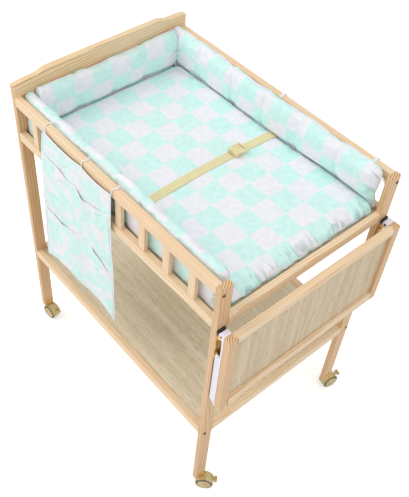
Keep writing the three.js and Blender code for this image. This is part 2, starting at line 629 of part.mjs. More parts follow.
// Hood: a domed fender over both wheels on a central web, with a round socket for the stem
function casterHood() {
  const dome = new THREE.Shape();
  dome.absarc(TRAIL, WHEEL_R, HOOD_R, -rad(HOOD_SKIRT_ANGLE), Math.PI + rad(HOOD_SKIRT_ANGLE), false);
  dome.lineTo(TRAIL - HOOD_HUB_R, WHEEL_R - HOOD_HUB_R / 2);
  dome.absarc(TRAIL, WHEEL_R, HOOD_HUB_R, Math.PI + rad(HOOD_HUB_ANGLE), -rad(HOOD_HUB_ANGLE), false);
  const body = sidePlate(dome, 2 * HOOD_HALF, DOME_STEPS);
  const socketTop = stemTop - FIT;
  const socket = upright(SOCKET_R, SOCKET_FOOT, socketTop, WHEEL_SIDES);
  const wellLong = HOOD_HALF - HOOD_WEB_HALF + OVERRUN;
  const wells = [-1, 1].map((side) => rod(HOOD_R - HOOD_SKIN, wellLong, TRAIL, WHEEL_R, WELL_SIDES)
    .translate(0, side * (HOOD_WEB_HALF + wellLong / 2), 0));
  const boreR = (STEM_R + FIT) / Math.cos(Math.PI / STEM_SIDES);
  const bore = upright(boreR, stemTop - STEM_LONG - FIT, stemTop + OVERRUN, STEM_SIDES);
  const reach = PEDAL_REACH + OVERRUN;
  const room = PEDAL_HUB_R + 2 * FIT;
  const rise = reach * Math.tan(rad(PEDAL_UP + PEDAL_CLEAR_ANGLE));
  const fall = reach * Math.tan(rad(PEDAL_TRAVEL - PEDAL_UP + PEDAL_CLEAR_ANGLE));
  const mouth = outline([[-room, -room], [0, -room], [reach, -room - fall], [reach, room + rise],
    [0, room], [-room, room]].map(([u, v]) => [pedalPivotX + u, pedalPivotZ + v]));
  const slot = sidePlate(mouth, 2 * (PEDAL_ARM_HALF + FIT));
  return cut(join(body, socket), ...wells, bore, slot,
    clearHole(AXLE_R, 2 * HOOD_WEB_HALF + OVERRUN, TRAIL, WHEEL_R),
    clearHole(PEDAL_PIN_R, 2 * HOOD_WEB_HALF + OVERRUN, pedalPivotX, pedalPivotZ));
}

// Twin wheels on their axle, flat-sided so that a facet meets the floor
function wheelPair() {
  const across = 1 / Math.cos(Math.PI / WHEEL_SIDES);
  const half = [
    [0, WHEEL_OUT - WHEEL_DISH / 2], [WHEEL_BOSS_R, WHEEL_OUT - WHEEL_DISH / 2],
    [WHEEL_BOSS_R + WHEEL_DISH, WHEEL_OUT - WHEEL_DISH],
    [WHEEL_R - WHEEL_RIM - WHEEL_DISH, WHEEL_OUT - WHEEL_DISH], [WHEEL_R - WHEEL_RIM, WHEEL_OUT],
    [WHEEL_R - WHEEL_BEVEL, WHEEL_OUT], [WHEEL_R, WHEEL_OUT - WHEEL_BEVEL], [WHEEL_R, WHEEL_IN],
    [AXLE_R, WHEEL_IN],
  ];
  const profile = [...half.map(([r, w]) => [r, -w]), ...[...half].reverse()]
    .map(([r, w]) => new THREE.Vector2(r * across, w));
  return new THREE.LatheGeometry(profile, WHEEL_SIDES, Math.PI / WHEEL_SIDES).translate(TRAIL, 0, WHEEL_R);
}

// Brake pedal: a lever in the hood's slot on its own cross pin, with a wide tread and a lip
function brakePedal() {
  const arm = outline([
    [0, -PEDAL_ARM_THICK / 2], [PEDAL_REACH, -PEDAL_ARM_THICK / 2],
    [PEDAL_REACH, PEDAL_ARM_THICK / 2], [0, PEDAL_ARM_THICK / 2],
  ]);
  const inner = PEDAL_REACH - PEDAL_TREAD;
  const tread = outline([
    [inner, -PEDAL_ARM_THICK / 2], [PEDAL_REACH - PEDAL_ARM_THICK / 2, -PEDAL_ARM_THICK / 2],
    [PEDAL_REACH, -PEDAL_LIP], [PEDAL_REACH + PEDAL_ARM_THICK / 2, PEDAL_LIP],
    [PEDAL_REACH - PEDAL_ARM_THICK / 2, PEDAL_ARM_THICK / 2], [inner, PEDAL_ARM_THICK / 2],
  ]);
  const hub = disc(0, 0, PEDAL_HUB_R);
  const lever = join(sidePlate(arm, 2 * PEDAL_ARM_HALF), sidePlate(hub, 2 * PEDAL_ARM_HALF),
    sidePlate(tread, 2 * PEDAL_HALF), rod(PEDAL_PIN_R, 2 * HOOD_WEB_HALF, 0, 0));
  return lever.rotateY(-rad(PEDAL_UP)).translate(pedalPivotX, 0, pedalPivotZ);
}

for (const [corner, sideX, sideY] of CORNERS) {
  const leg = new THREE.Group();
  leg.position.set(sideX * POST_X, sideY * POST_Y, 0);
  table.add(leg);
  place(corner + '_leg_bracket', legBracket(), FINISH.zinc, leg);
  const swivel = new THREE.Group();
  swivel.rotation.z = rad(TRAIL_ANGLES[corner]);
  leg.add(swivel);
  place(corner + '_caster_hood', casterHood(), FINISH.creamPlastic, swivel);
  place(corner + '_caster_wheels', wheelPair(), FINISH.creamPlastic, swivel);
  place(corner + '_caster_brake', brakePedal(), FINISH.creamPlastic, swivel);
}

// A closed skin over rings of points, first and last ring closed by a fan to their middle
function skin(rings) {
  const count = rings[0].length;
  const points = rings.flat();
  const faces = [];
  for (let k = 0; k + 1 < rings.length; k += 1) {
    for (let i = 0; i < count; i += 1) {
      const a = k * count + i;
      const b = k * count + (i + 1) % count;
      faces.push(a, b, a + count, b, b + count, a + count);
    }
  }
  for (const [ring, flip] of [[0, true], [rings.length - 1, false]]) {
    const middle = rings[ring].reduce((sum, p) => sum.add(p), new THREE.Vector3()).divideScalar(count);
    const tip = points.push(middle) - 1;
    for (let i = 0; i < count; i += 1) {
      const a = ring * count + i;
      const b = ring * count + (i + 1) % count;
      faces.push(...(flip ? [b, a, tip] : [a, b, tip]));
    }
  }
  const geometry = new THREE.BufferGeometry().setFromPoints(points);
  geometry.setIndex(faces);
  return geometry;
}

// Plan of a pad: a rounded rectangle whose sides draw in between its corners
function padPlan(halfX, halfY, corner, drawIn, count) {
  const points = [];
  for (let i = 0; i < count; i += 1) {
    const t = (i / count) * 2 * Math.PI;
    const c = Math.cos(t);
    const s = Math.sin(t);
    const reachX = halfX - corner;
    const reachY = halfY - corner;
    const x = THREE.MathUtils.clamp(c * PLAN_FLAT_SHARE, -1, 1) * reachX;
    const y = THREE.MathUtils.clamp(s * PLAN_FLAT_SHARE, -1, 1) * reachY;
    const pinchX = drawIn * (1 - (y / reachY) ** 2);
    const pinchY = drawIn * (1 - (x / reachX) ** 2);
    points.push([x + c * corner - Math.sign(c) * pinchX * Math.abs(c) ** 3,
      y + s * corner - Math.sign(s) * pinchY * Math.abs(s) ** 3]);
  }
  return points;
}

// Mattress: flat underside, rounded and drawn-in sides, crowned top, gathers at the flap end
const mattressFoot = DECK_TOP + FIT;
const mattressLow = -POST_INNER_X + MATTRESS_HEAD_GAP;
const mattressHigh = POST_INNER_X - MATTRESS_FOOT_GAP;
const mattressHalfY = RAIL_INNER_Y - BUMPER_FOOT_THICK - LOOP_ROOM / 2 - 3 * FIT;
const mattressY = LOOP_ROOM / 2;

// Shares of the plan's reach and of the thickness, from the underside round the edge to the crown
const MATTRESS_LEVEL_SHARES = [
  [0.5, 0], [0.965, 0], [0.992, 0.18], [1, 0.45], [0.994, 0.72], [0.975, 0.9],
  [0.93, 0.985], [0.8, 1], [0.55, 1], [0.25, 1],
];

function levelHeight(share, rise) {
  return MATTRESS_THICK * rise + MATTRESS_CROWN * (1 - share ** 2) * rise ** 4;
}

function mattress() {
  const plan = padPlan((mattressHigh - mattressLow) / 2, mattressHalfY,
    MATTRESS_CORNER, MATTRESS_DRAW_IN, MATTRESS_PLAN_STEPS);
  const middle = (mattressHigh + mattressLow) / 2;
  return skin(MATTRESS_LEVEL_SHARES.map(([share, rise]) => plan.map(([x, y]) => {
    const gathered = x > 0 && share > GATHER_FROM_SHARE;
    const gather = gathered ? Math.sin(Math.PI * y / GATHER_LONG) * GATHER_DEEP * rise : 0;
    const height = levelHeight(share, rise) - gather;
    return new THREE.Vector3(middle + x * share - Math.abs(gather), y * share, height);
  })));
}
place('mattress', mattress(), FINISH.cotton).position.set(0, mattressY, mattressFoot);

// Bumper: a long pad, thin beside the mattress, full above it, puffed between its sewn gathers
const BUMPER_SECTION_SHARES = [
  [0, 0.04], [0.12, 0], [0.88, 0], [1, 0.05], [1, 0.24], [1.35, 0.4], [1.66, 0.58], [1.7, 0.75],
  [1.56, 0.9], [1.2, 0.985], [0.75, 1], [0.3, 0.985], [0.04, 0.93], [0, 0.7], [0, 0.35],
];

function bumper(long, puffs) {
  const rings = [];
  for (let k = 0; k <= BUMPER_STEPS; k += 1) {
    const t = k / BUMPER_STEPS;
    const fromEnd = Math.min(1, Math.min(t, 1 - t) * long / BUMPER_END_RUN);
    const close = THREE.MathUtils.lerp(BUMPER_END_THICK_SHARE, 1, Math.sqrt(1 - (1 - fromEnd) ** 2));
    const drop = THREE.MathUtils.lerp(BUMPER_END_TALL_SHARE, 1, close);
    const puff = Math.abs(Math.sin(Math.PI * puffs * t)) * BUMPER_PUFF;
    const x = (t - 0.5) * long;
    rings.push(BUMPER_SECTION_SHARES.map(([across, up]) => {
      const deep = across * BUMPER_FOOT_THICK - (across > 1 ? (BUMPER_PUFF - puff) * (across - 1) : 0);
      const middle = BUMPER_FOOT_THICK / 2;
      const y = middle + (deep - middle) * close;
      const z = up * (BUMPER_TALL - (up > BUMPER_PUFF_FROM_SHARE ? BUMPER_PUFF - puff : 0));
      return new THREE.Vector3(x, y, z * drop);
    }));
  }
  return skin(rings);
}

const bumperLow = -POST_INNER_X + FIT;
const bumperHigh = POST_INNER_X - BUMPER_END_GAP;
const bumperLong = bumperHigh - bumperLow;
const bumperMiddle = (bumperHigh + bumperLow) / 2;
const bumperFace = RAIL_INNER_Y - FIT;
const rearBumper = place('bumper_rear', bumper(bumperLong, LONG_BUMPER_PUFFS), FINISH.cotton);
rearBumper.rotation.z = Math.PI;
rearBumper.position.set(bumperMiddle, bumperFace, mattressFoot);
place('bumper_front', bumper(bumperLong, LONG_BUMPER_PUFFS), FINISH.cotton)
  .position.set(bumperMiddle, -bumperFace + LOOP_ROOM, mattressFoot);
const leftBumperReach = bumperFace - BUMPER_THICK - BUMPER_PUFF;
const leftBumper = place('bumper_left',
  bumper(2 * leftBumperReach - LOOP_ROOM, HEAD_BUMPER_PUFFS), FINISH.cotton);
leftBumper.rotation.z = -Math.PI / 2;
leftBumper.position.set(bumperLow, LOOP_ROOM / 2, mattressFoot);

// Webbing: a flat strip of steady thickness along a path given as y, height and sideways sway
function webbing(path) {
  const rings = path.map(([y, z, sway], i) => {
    const [y0, z0] = path[Math.max(0, i - 1)];
    const [y1, z1] = path[Math.min(path.length - 1, i + 1)];
    const along = new THREE.Vector3(0, y1 - y0, z1 - z0).normalize();
    const up = X.clone().cross(along);
    const centre = new THREE.Vector3(STRAP_X + sway, y, z).addScaledVector(up, STRAP_THICK / 2);
    return [[-1, 0], [-1, 1], [1, 1], [1, 0]].map(([u, v]) => centre.clone()
      .addScaledVector(X, u * STRAP_WIDE / 2).addScaledVector(up, (v - 0.5) * STRAP_THICK));
  });
  return skin(rings);
}

// Height of the mattress top under the strap, at a place across it
const strapReach = mattressHalfY - MATTRESS_DRAW_IN;

function mattressTop(y) {
  const share = Math.abs(y - mattressY) / strapReach;
  const top = MATTRESS_LEVEL_SHARES.slice(-5);
  const i = Math.max(1, top.findIndex(([at]) => at <= share));
  const [[s0, r0], [s1, r1]] = share < top.at(-1)[0] ? [top.at(-2), top.at(-1)] : [top[i - 1], top[i]];
  const t = THREE.MathUtils.clamp((share - s0) / (s1 - s0), 0, 1);
  return mattressFoot + THREE.MathUtils.lerp(levelHeight(s0, r0), levelHeight(s1, r1), t);
}

function strapPath(from, to, steps) {
  const knees = MATTRESS_LEVEL_SHARES.slice(-5)
    .flatMap(([share]) => [mattressY - share * strapReach, mattressY + share * strapReach])
    .filter((y) => y > from + STRAP_LIFT && y < to - STRAP_LIFT);
  const even = Array.from({ length: steps + 1 }, (_, i) => from + (to - from) * i / steps)
    .filter((y) => knees.every((knee) => Math.abs(knee - y) > STRAP_LIFT));
  return [...even, ...knees].sort((a, b) => a - b).map((y) => {
    const sway = -STRAP_SWAY * Math.cos((Math.PI / 2) * (y - mattressY) / strapReach);
    return [y, mattressTop(y) + STRAP_LIFT, sway];
  });
}

const strapEnd = strapReach - 2 * STRAP_THICK;
const socketEnd = BUCKLE_Y + SOCKET_LONG / 2 - PLUG_LONG / 2;
const plugEnd = socketEnd + PLUG_LONG;
const socketStart = socketEnd - SOCKET_LONG;
place('strap_front',
  webbing(strapPath(mattressY - strapEnd, socketStart - FIT, STRAP_FRONT_STEPS)), FINISH.webbing);
place('strap_rear',
  webbing(strapPath(plugEnd + FIT, mattressY + strapEnd, STRAP_REAR_STEPS)), FINISH.webbing);

// Side-release buckle: hollow socket with side windows, and a plug with two prongs and a tongue
const buckleFoot = mattressTop(BUCKLE_Y) + FIT;
const halfBuckle = BUCKLE_WIDE / 2;

function buckleSocket() {
  const face = roundedRectangle(-halfBuckle, halfBuckle, 0, SOCKET_LONG, BUCKLE_ROUND);
  const shell = prism(face, BUCKLE_THICK, X, Y);
  const innerHalf = halfBuckle - BUCKLE_WALL;
  const innerTall = BUCKLE_THICK / 2 - BUCKLE_WALL;
  const cavity = block([-innerHalf, BUCKLE_BAR, -innerTall], [innerHalf, SOCKET_LONG + OVERRUN, innerTall]);
  const [windowLow, windowHigh] = WINDOW_SHARES.map((share) => SOCKET_LONG * share);
  const windows = block([-halfBuckle - OVERRUN, windowLow, -innerTall],
    [halfBuckle + OVERRUN, windowHigh, innerTall]);
  return cut(shell, cavity, windows);
}

function bucklePlug() {
  const face = roundedRectangle(-halfBuckle, halfBuckle, 0, PLUG_LONG, BUCKLE_ROUND);
  const base = prism(face, BUCKLE_THICK, X, Y);
  const slotHalf = STRAP_WIDE / 2 + FIT;
  const slot = block([-slotHalf, PLUG_LONG - 2 * BUCKLE_BAR, -BUCKLE_THICK],
    [slotHalf, PLUG_LONG - BUCKLE_BAR, BUCKLE_THICK]);
  const prongTall = BUCKLE_THICK / 2 - BUCKLE_WALL - FIT;
  const outer = halfBuckle - BUCKLE_WALL - FIT;
  const prongs = [-1, 1].map((side) => block(
    [Math.min(side * outer, side * (outer - PRONG_WIDE)), -PRONG_LONG, -prongTall],
    [Math.max(side * outer, side * (outer - PRONG_WIDE)), BUCKLE_WALL, prongTall]));
  const tongue = block([-PRONG_WIDE / 2, -PRONG_LONG / 2, -prongTall],
    [PRONG_WIDE / 2, BUCKLE_WALL, prongTall]);
  return join(cut(base, slot), ...prongs, tongue);
}

place('buckle_socket', buckleSocket(), FINISH.creamPlastic)
  .position.set(BUCKLE_X, socketStart, buckleFoot + BUCKLE_THICK / 2);
place('buckle_plug', bucklePlug(), FINISH.creamPlastic)
  .position.set(BUCKLE_X, socketEnd + FIT, buckleFoot + BUCKLE_THICK / 2);

// Hanging organizer: a cloth panel that widens downwards, with two tiers of flat pockets and soft folds
const organizerBack = -WIDTH / 2 - 2 * LOOP_R - 3 * FIT;

function organizer() {
  const columns = ORGANIZER_COLUMNS;
  const organizerTop = POST_TOP - ORGANIZER_DROP;
  const heights = [organizerTop];
  const proud = [0];
  POCKET_MOUTH_SHARES.forEach((share, tier) => {
    const mouth = organizerTop - share * ORGANIZER_TALL;
    const hem = organizerTop - POCKET_HEM_SHARES[tier] * ORGANIZER_TALL;
    heights.push((heights.at(-1) + mouth) / 2, mouth + POCKET_PROUD / 2, mouth);
    proud.push(0, 0, 1);
    for (let i = 1; i <= POCKET_ROWS; i += 1) {
      heights.push(mouth + (hem - mouth) * i / POCKET_ROWS);
      proud.push(1 - POCKET_FLATTEN_SHARE * (i / POCKET_ROWS) ** 2);
    }
  });
  heights.push(organizerTop - ORGANIZER_TALL);
  proud.push(0);
  const wave = ([longX, longZ], x, z) => Math.sin(2 * Math.PI * (x / longX + z / longZ));
  const fold = (x, z) => FOLD_DEEP / 2 * (1 + wave(FOLD_ACROSS, x, z) * wave(FOLD_ALONG, x, z));
  const rings = heights.map((z, row) => {
    const widening = Math.sqrt((organizerTop - z) / ORGANIZER_TALL);
    const wide = THREE.MathUtils.lerp(ORGANIZER_TOP_WIDE, ORGANIZER_WIDE, widening);
    const ring = [];
    for (let i = 0; i <= columns; i += 1) {
      const x = ORGANIZER_RIGHT - (1 - i / columns) * wide;
      const bulge = proud[row] * Math.sqrt(Math.max(0, Math.sin(Math.PI * i / columns))) * POCKET_PROUD;
      ring.push(new THREE.Vector3(x, -CLOTH_THICK - bulge - fold(x, z), z));
    }
    for (let i = columns; i >= 0; i -= 1) {
      const x = ORGANIZER_RIGHT - (1 - i / columns) * wide;
      ring.push(new THREE.Vector3(x, row < 2 ? 0 : -fold(x, z), z));
    }
    return ring;
  });
  return skin(rings.reverse());
}
place('organizer', organizer(), FINISH.cotton).position.y = organizerBack;

// Cord loops: each a closed ring of cord round the front top rail, sewn to the organizer's hem
function cordLoop() {
  const gap = LOOP_R + FIT;
  const halfY = RAIL_THICK / 2 + gap;
  const halfZ = TOP_RAIL_TALL / 2 + gap;
  const corner = LOOP_ROUND;
  const path = [];
  for (const [cy, cz, start] of [[1, 1, 0], [-1, 1, 90], [-1, -1, 180], [1, -1, 270]]) {
    for (let i = 0; i <= CORD_CORNER_STEPS; i += 1) {
      const angle = rad(start) + (Math.PI / 2) * i / CORD_CORNER_STEPS;
      path.push([cy * (halfY - corner) + corner * Math.cos(angle),
        cz * (halfZ - corner) + corner * Math.sin(angle)]);
    }
  }
  const sides = CORD_SIDES;
  const points = [];
  const faces = [];
  path.forEach(([y, z], k) => {
    const [y0, z0] = path[(k + path.length - 1) % path.length];
    const [y1, z1] = path[(k + 1) % path.length];
    const out = new THREE.Vector3(0, z1 - z0, y0 - y1).normalize();
    for (let i = 0; i < sides; i += 1) {
      const angle = (i / sides) * 2 * Math.PI;
      points.push(new THREE.Vector3(0, y, z).addScaledVector(out, LOOP_R * Math.cos(angle))
        .addScaledVector(X, LOOP_R * Math.sin(angle)));
      const a = k * sides + i;
      const b = k * sides + (i + 1) % sides;
      const c = ((k + 1) % path.length) * sides + i;
      const d = ((k + 1) % path.length) * sides + (i + 1) % sides;
      faces.push(b, a, c, d, b, c);
    }
  });
  const geometry = new THREE.BufferGeometry().setFromPoints(points);
  geometry.setIndex(faces);
  return geometry;
}

LOOP_SHARES.forEach((share, i) => {
  const x = ORGANIZER_RIGHT - (1 - share) * ORGANIZER_TOP_WIDE;
  place('organizer_loop_' + (i + 1), cordLoop(), FINISH.whiteCord)
    .position.set(x, -(WIDTH - RAIL_THICK) / 2, TOP_RAIL_FOOT + TOP_RAIL_TALL / 2);
});

// The row's origin is the middle of the whole part's footprint on the floor, to the nearest millimetre
const footprint = new THREE.Box3().setFromObject(table).getCenter(new THREE.Vector3());
table.position.set(-Math.round(footprint.x), -Math.round(footprint.y), 0);
table.updateMatrixWorld(true);

export default table;
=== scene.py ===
import json
import math

import bmesh
import bpy
from mathutils import Matrix, Vector, noise
from mathutils.bvhtree import BVHTree

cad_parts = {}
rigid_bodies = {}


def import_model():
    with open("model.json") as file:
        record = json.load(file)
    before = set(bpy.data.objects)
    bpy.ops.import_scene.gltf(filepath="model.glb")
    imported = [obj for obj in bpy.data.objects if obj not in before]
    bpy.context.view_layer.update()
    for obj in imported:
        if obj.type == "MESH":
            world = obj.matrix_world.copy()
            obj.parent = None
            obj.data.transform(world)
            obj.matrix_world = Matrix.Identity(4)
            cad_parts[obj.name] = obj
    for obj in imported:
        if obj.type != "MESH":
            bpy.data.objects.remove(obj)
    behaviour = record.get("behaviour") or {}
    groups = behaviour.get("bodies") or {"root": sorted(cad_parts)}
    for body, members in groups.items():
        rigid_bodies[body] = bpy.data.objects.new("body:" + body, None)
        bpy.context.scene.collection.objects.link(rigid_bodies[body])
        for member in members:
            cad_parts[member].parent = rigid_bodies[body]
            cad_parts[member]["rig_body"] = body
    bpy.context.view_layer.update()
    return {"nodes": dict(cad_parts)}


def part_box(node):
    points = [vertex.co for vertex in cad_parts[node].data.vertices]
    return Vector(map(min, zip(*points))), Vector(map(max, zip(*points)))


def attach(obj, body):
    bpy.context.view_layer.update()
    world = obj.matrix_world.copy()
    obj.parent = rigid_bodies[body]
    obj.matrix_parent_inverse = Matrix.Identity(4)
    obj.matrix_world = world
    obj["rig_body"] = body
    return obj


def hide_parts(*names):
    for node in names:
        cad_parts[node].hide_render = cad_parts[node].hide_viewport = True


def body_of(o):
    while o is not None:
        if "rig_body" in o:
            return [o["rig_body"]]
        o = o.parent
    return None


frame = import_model()

# The studio: the table stands on a seamless white floor and is photographed from above, over its front
# right corner. A broad soft light comes from the upper left, and white walls fill the shadows.
# Nothing here belongs to the table.


def colour(hex_code):
    """An sRGB colour such as "E8C79C", turned to the linear values that the shaders take."""
    shares = [int(hex_code[i:i + 2], 16) / 255 for i in (0, 2, 4)]
    return [s / 12.92 if s <= 0.04045 else ((s + 0.055) / 1.055) ** 2.4 for s in shares] + [1]


def fill(node, inputs):
    """Links or sets each named input of a node."""
    for key, value in inputs.items():
        if isinstance(value, bpy.types.NodeSocket):
            node.id_data.links.new(value, node.inputs[key])
        else:
            node.inputs[key].default_value = value


def add_node(tree, kind, settings=None, inputs=None, out=0):
    """Adds a node with its settings, its stops if it is a ramp, and its inputs; returns one of its outputs."""
    node = tree.nodes.new(kind)
    for key, value in (settings or {}).items():
        if key == "stops":
            ramp = node.color_ramp
            while len(ramp.elements) < len(value):
                ramp.elements.new(1)
            for element, (place, shade) in zip(ramp.elements, value):
                element.position, element.color = place, colour(shade)
        else:
            setattr(node, key, value)
    fill(node, inputs or {})
    return node.outputs[out]


def new_material(name):
    """A material, its node tree and its surface shader."""
    material = bpy.data.materials.new(name)
    material.use_nodes = True
    return material, material.node_tree, material.node_tree.nodes["Principled BSDF"]


def seen_by(tree, *rays):
    """1 for the given kinds of rays, and 0 for the light that falls on other things."""
    path = add_node(tree, "ShaderNodeLightPath").node.outputs
    seen = path[rays[0]]
    for ray in rays[1:]:
        seen = add_node(tree, "ShaderNodeMath", {"operation": "MAXIMUM"}, {0: seen, 1: path[ray]})
    return seen


def shown(name, data):
    """A new object, put into the scene."""
    thing = bpy.data.objects.new(name, data)
    bpy.context.scene.collection.objects.link(thing)
    return thing


post_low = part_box("front_left_post")[0]
post_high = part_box("rear_right_post")[1]
middle = Vector(((post_low.x + post_high.x) / 2, (post_low.y + post_high.y) / 2, 0))

# The photograph's own camera, solved from the corners of the posts and rails: its distance from the picture
# in pixels, the picture's longer side, where its axis meets the picture, and its place and directions
FOCAL_PIXELS, PICTURE_PIXELS = 758.77, 497
camera_data = bpy.data.cameras.new("studio_camera")
camera_data.lens = FOCAL_PIXELS * camera_data.sensor_width / PICTURE_PIXELS
camera_data.shift_x, camera_data.shift_y = 0.0797, -0.0201
camera_data.clip_start, camera_data.clip_end = 0.05, 50
camera = shown("studio_camera", camera_data)
camera.matrix_world = Matrix.Translation(Vector((1.00869, -0.96470, 2.06840)) + middle) @ Matrix((
    (0.62991, -0.58941, 0.50577),
    (0.77611, 0.45320, -0.43847),
    (0.02922, 0.66874, 0.74292),
)).to_4x4()
bpy.context.scene.camera = camera

floor_mesh = bpy.data.meshes.new("studio_floor")
floor_mesh.from_pydata([(-9, -9, 0), (9, -9, 0), (9, 9, 0), (-9, 9, 0)], [], [(0, 1, 2, 3)])
studio_floor = shown("studio_floor", floor_mesh)

# Matt paper, lit to white; where the camera or a reflection sees it, it shows as white as the walls
paper, tree, surface = new_material("white background paper")
seen = seen_by(tree, "Is Camera Ray", "Is Glossy Ray")
bare_paper = add_node(tree, "ShaderNodeBsdfDiffuse", None, {"Color": colour("F6F6F4")})
lit_paper = add_node(tree, "ShaderNodeEmission", None, {"Color": (1, 1, 1, 1), "Strength": 0.44})
glow = add_node(tree, "ShaderNodeMixShader", None,
                {0: seen, 1: add_node(tree, "ShaderNodeEmission", None, {"Strength": 0}), 2: lit_paper})
shader = add_node(tree, "ShaderNodeAddShader", None, {0: bare_paper, 1: glow})
tree.links.new(shader, tree.nodes["Material Output"].inputs["Surface"])
tree.nodes.remove(surface)
floor_mesh.materials.append(paper)

walls = bpy.data.worlds.new("white studio walls")
walls.use_nodes = True
tree = walls.node_tree
# The walls light the table less than they shine in the picture, so that its own shadows stay
seen = seen_by(tree, "Is Camera Ray", "Is Glossy Ray", "Is Transmission Ray")
strength = add_node(tree, "ShaderNodeMix", {"data_type": "FLOAT"}, {0: seen, 2: 0.66, 3: 1.0})
fill(tree.nodes["Background"], {"Strength": strength, "Color": (1, 1, 1, 1)})
bpy.context.scene.world = walls

# Each lamp's place, its width in metres and its power in watts; all of them are aimed at the table's middle
aim = Vector((0, 0, 0.6))
for name, place, size, power in (("softbox", (-1.9, -1.7, 3.2), 2.2, 40),
                                 ("front_panel", (-0.4, -3.0, 1.5), 2.4, 10),
                                 ("top_panel", (1.7, -0.1, 3.3), 2.0, 17)):
    lamp_data = bpy.data.lights.new(name, "AREA")
    lamp_data.size, lamp_data.energy = size, power
    lamp = shown(name, lamp_data)
    turned = (Vector(place) - aim).to_track_quat("Z", "Y")
    lamp.matrix_world = Matrix.Translation(place) @ turned.to_matrix().to_4x4()
bpy.context.scene.view_settings.view_transform = "Standard"


# The frame: posts, rails, headboard and balusters of planed pine, glued and bolted, under a thin clear
# lacquer. The boards are flat-sawn, so the year rings show as long soft lines on the faces and as short
# curved ones on the sawn ends; the edges were eased with a router.

RING = 0.0046     # one year's growth, twice the real one so that it shows from a few steps away
FIBRE = 0.0011    # width of the fine streaks along the grain


def grain_axes(tree, *axes):
    """The object's own coordinates, and the same in the order across, beside and along the grain."""
    coordinates = add_node(tree, "ShaderNodeTexCoord", out="Object")
    parts = add_node(tree, "ShaderNodeSeparateXYZ", None, {0: coordinates}).node.outputs
    return coordinates, add_node(tree, "ShaderNodeCombineXYZ", None,
                                 {k: parts[axis] for k, axis in enumerate(axes)})


def lay_surface(surface, shade, height, strength, depth, values):
    """Gives a surface its colour, the relief of a pattern's height, as deep as depth in metres, and its other
    values."""
    relief = add_node(surface.id_data, "ShaderNodeBump", None,
                      {"Height": height, "Strength": strength, "Distance": depth})
    fill(surface, {"Base Color": shade, "Normal": relief, **values})


def planed_pine(name, across, beside, along, shades=("FFFAF0", "FEF0E0"), late_wood="DDB88C", pale_share=0.6):
    """Pine whose grain runs along one object axis, X, Y or Z. Its shades are how pale and how warm its boards
    are, late_wood is the dark line that ends each year's growth, and pale_share is how much of the year is
    pale. The year rings wander slowly, fine streaks cross them, and sawn ends show them darker."""
    material, tree, surface = new_material(name)
    coordinates, log = grain_axes(tree, across, beside, along)
    slow = add_node(tree, "ShaderNodeMapping", None, {"Vector": log, "Scale": (11, 11, 1.3)})
    drift = add_node(tree, "ShaderNodeTexNoise", None, {"Vector": slow, "Scale": 1.0, "Detail": 2.0})
    depth = add_node(tree, "ShaderNodeVectorMath", {"operation": "DOT_PRODUCT"},
                     {0: log, 1: (0.83 / RING, 0.56 / RING, 0)}, out="Value")
    year = add_node(tree, "ShaderNodeMath", {"operation": "MULTIPLY_ADD"}, {0: drift, 1: 9.0, 2: depth})
    ring = add_node(tree, "ShaderNodeMath", {"operation": "FRACT"}, {0: year})
    rings = add_node(tree, "ShaderNodeValToRGB", {"stops": [
        (0.0, "F9EBD3"), (pale_share, "F5E2C5"), (0.86, late_wood),
        (0.95, "E9CBA3"), (1.0, "F7E7CD")]}, {0: ring})

    fine = add_node(tree, "ShaderNodeMapping", None,
                    {"Vector": log, "Scale": (1 / FIBRE, 1 / FIBRE, 0.012 / FIBRE)})
    fibre = add_node(tree, "ShaderNodeTexNoise", None, {"Vector": fine, "Scale": 1.0, "Detail": 3.0})
    streaks = add_node(tree, "ShaderNodeValToRGB",
                       {"stops": [(0.3, "E4C096"), (0.62, "FFFFFF")]}, {0: fibre})
    wood = add_node(tree, "ShaderNodeMix", {"data_type": "RGBA", "blend_type": "MULTIPLY"},
                    {0: 0.34, 6: rings, 7: streaks}, out=2)

    broad = add_node(tree, "ShaderNodeTexNoise", None, {"Vector": coordinates, "Scale": 3.7, "Detail": 1.0})
    warmth = add_node(tree, "ShaderNodeValToRGB",
                      {"stops": [(0.34, shades[0]), (0.66, shades[1])]}, {0: broad})
    wood = add_node(tree, "ShaderNodeMix", {"data_type": "RGBA", "blend_type": "MULTIPLY"},
                    {0: 0.8, 6: wood, 7: warmth}, out=2)

    facing = add_node(tree, "ShaderNodeTexCoord", out="Normal")
    facing_axes = add_node(tree, "ShaderNodeSeparateXYZ", None, {0: facing}).node.outputs
    sawn = add_node(tree, "ShaderNodeMath", {"operation": "ABSOLUTE"}, {0: facing_axes[along]})
    sawn = add_node(tree, "ShaderNodeMath", {"operation": "GREATER_THAN"}, {0: sawn, 1: 0.8})
    end_rings = add_node(tree, "ShaderNodeValToRGB", {"stops": [
        (0.0, "EDCFA4"), (0.42, "E0B787"), (0.8, "A06B3E"), (1.0, "E4BF90")]}, {0: ring})
    wood = add_node(tree, "ShaderNodeMix", {"data_type": "RGBA"}, {0: sawn, 6: wood, 7: end_rings}, out=2)

    rough = add_node(tree, "ShaderNodeMapRange", None, {"Value": fibre, "To Min": 0.42, "To Max": 0.6})
    relief = add_node(tree, "ShaderNodeMath", {"operation": "MULTIPLY_ADD"}, {0: ring, 1: 0.35, 2: fibre})
    lay_surface(surface, wood, relief, 0.3, 0.0003,
                {"Roughness": rough, "IOR": 1.5, "Coat Weight": 0.12, "Coat Roughness": 0.35})
    return material


def finish_nodes(material, *names):
    """Gives the CAD's own pieces a material."""
    for node_name in names:
        mesh = frame["nodes"][node_name].data
        mesh.materials.clear()
        mesh.materials.append(material)


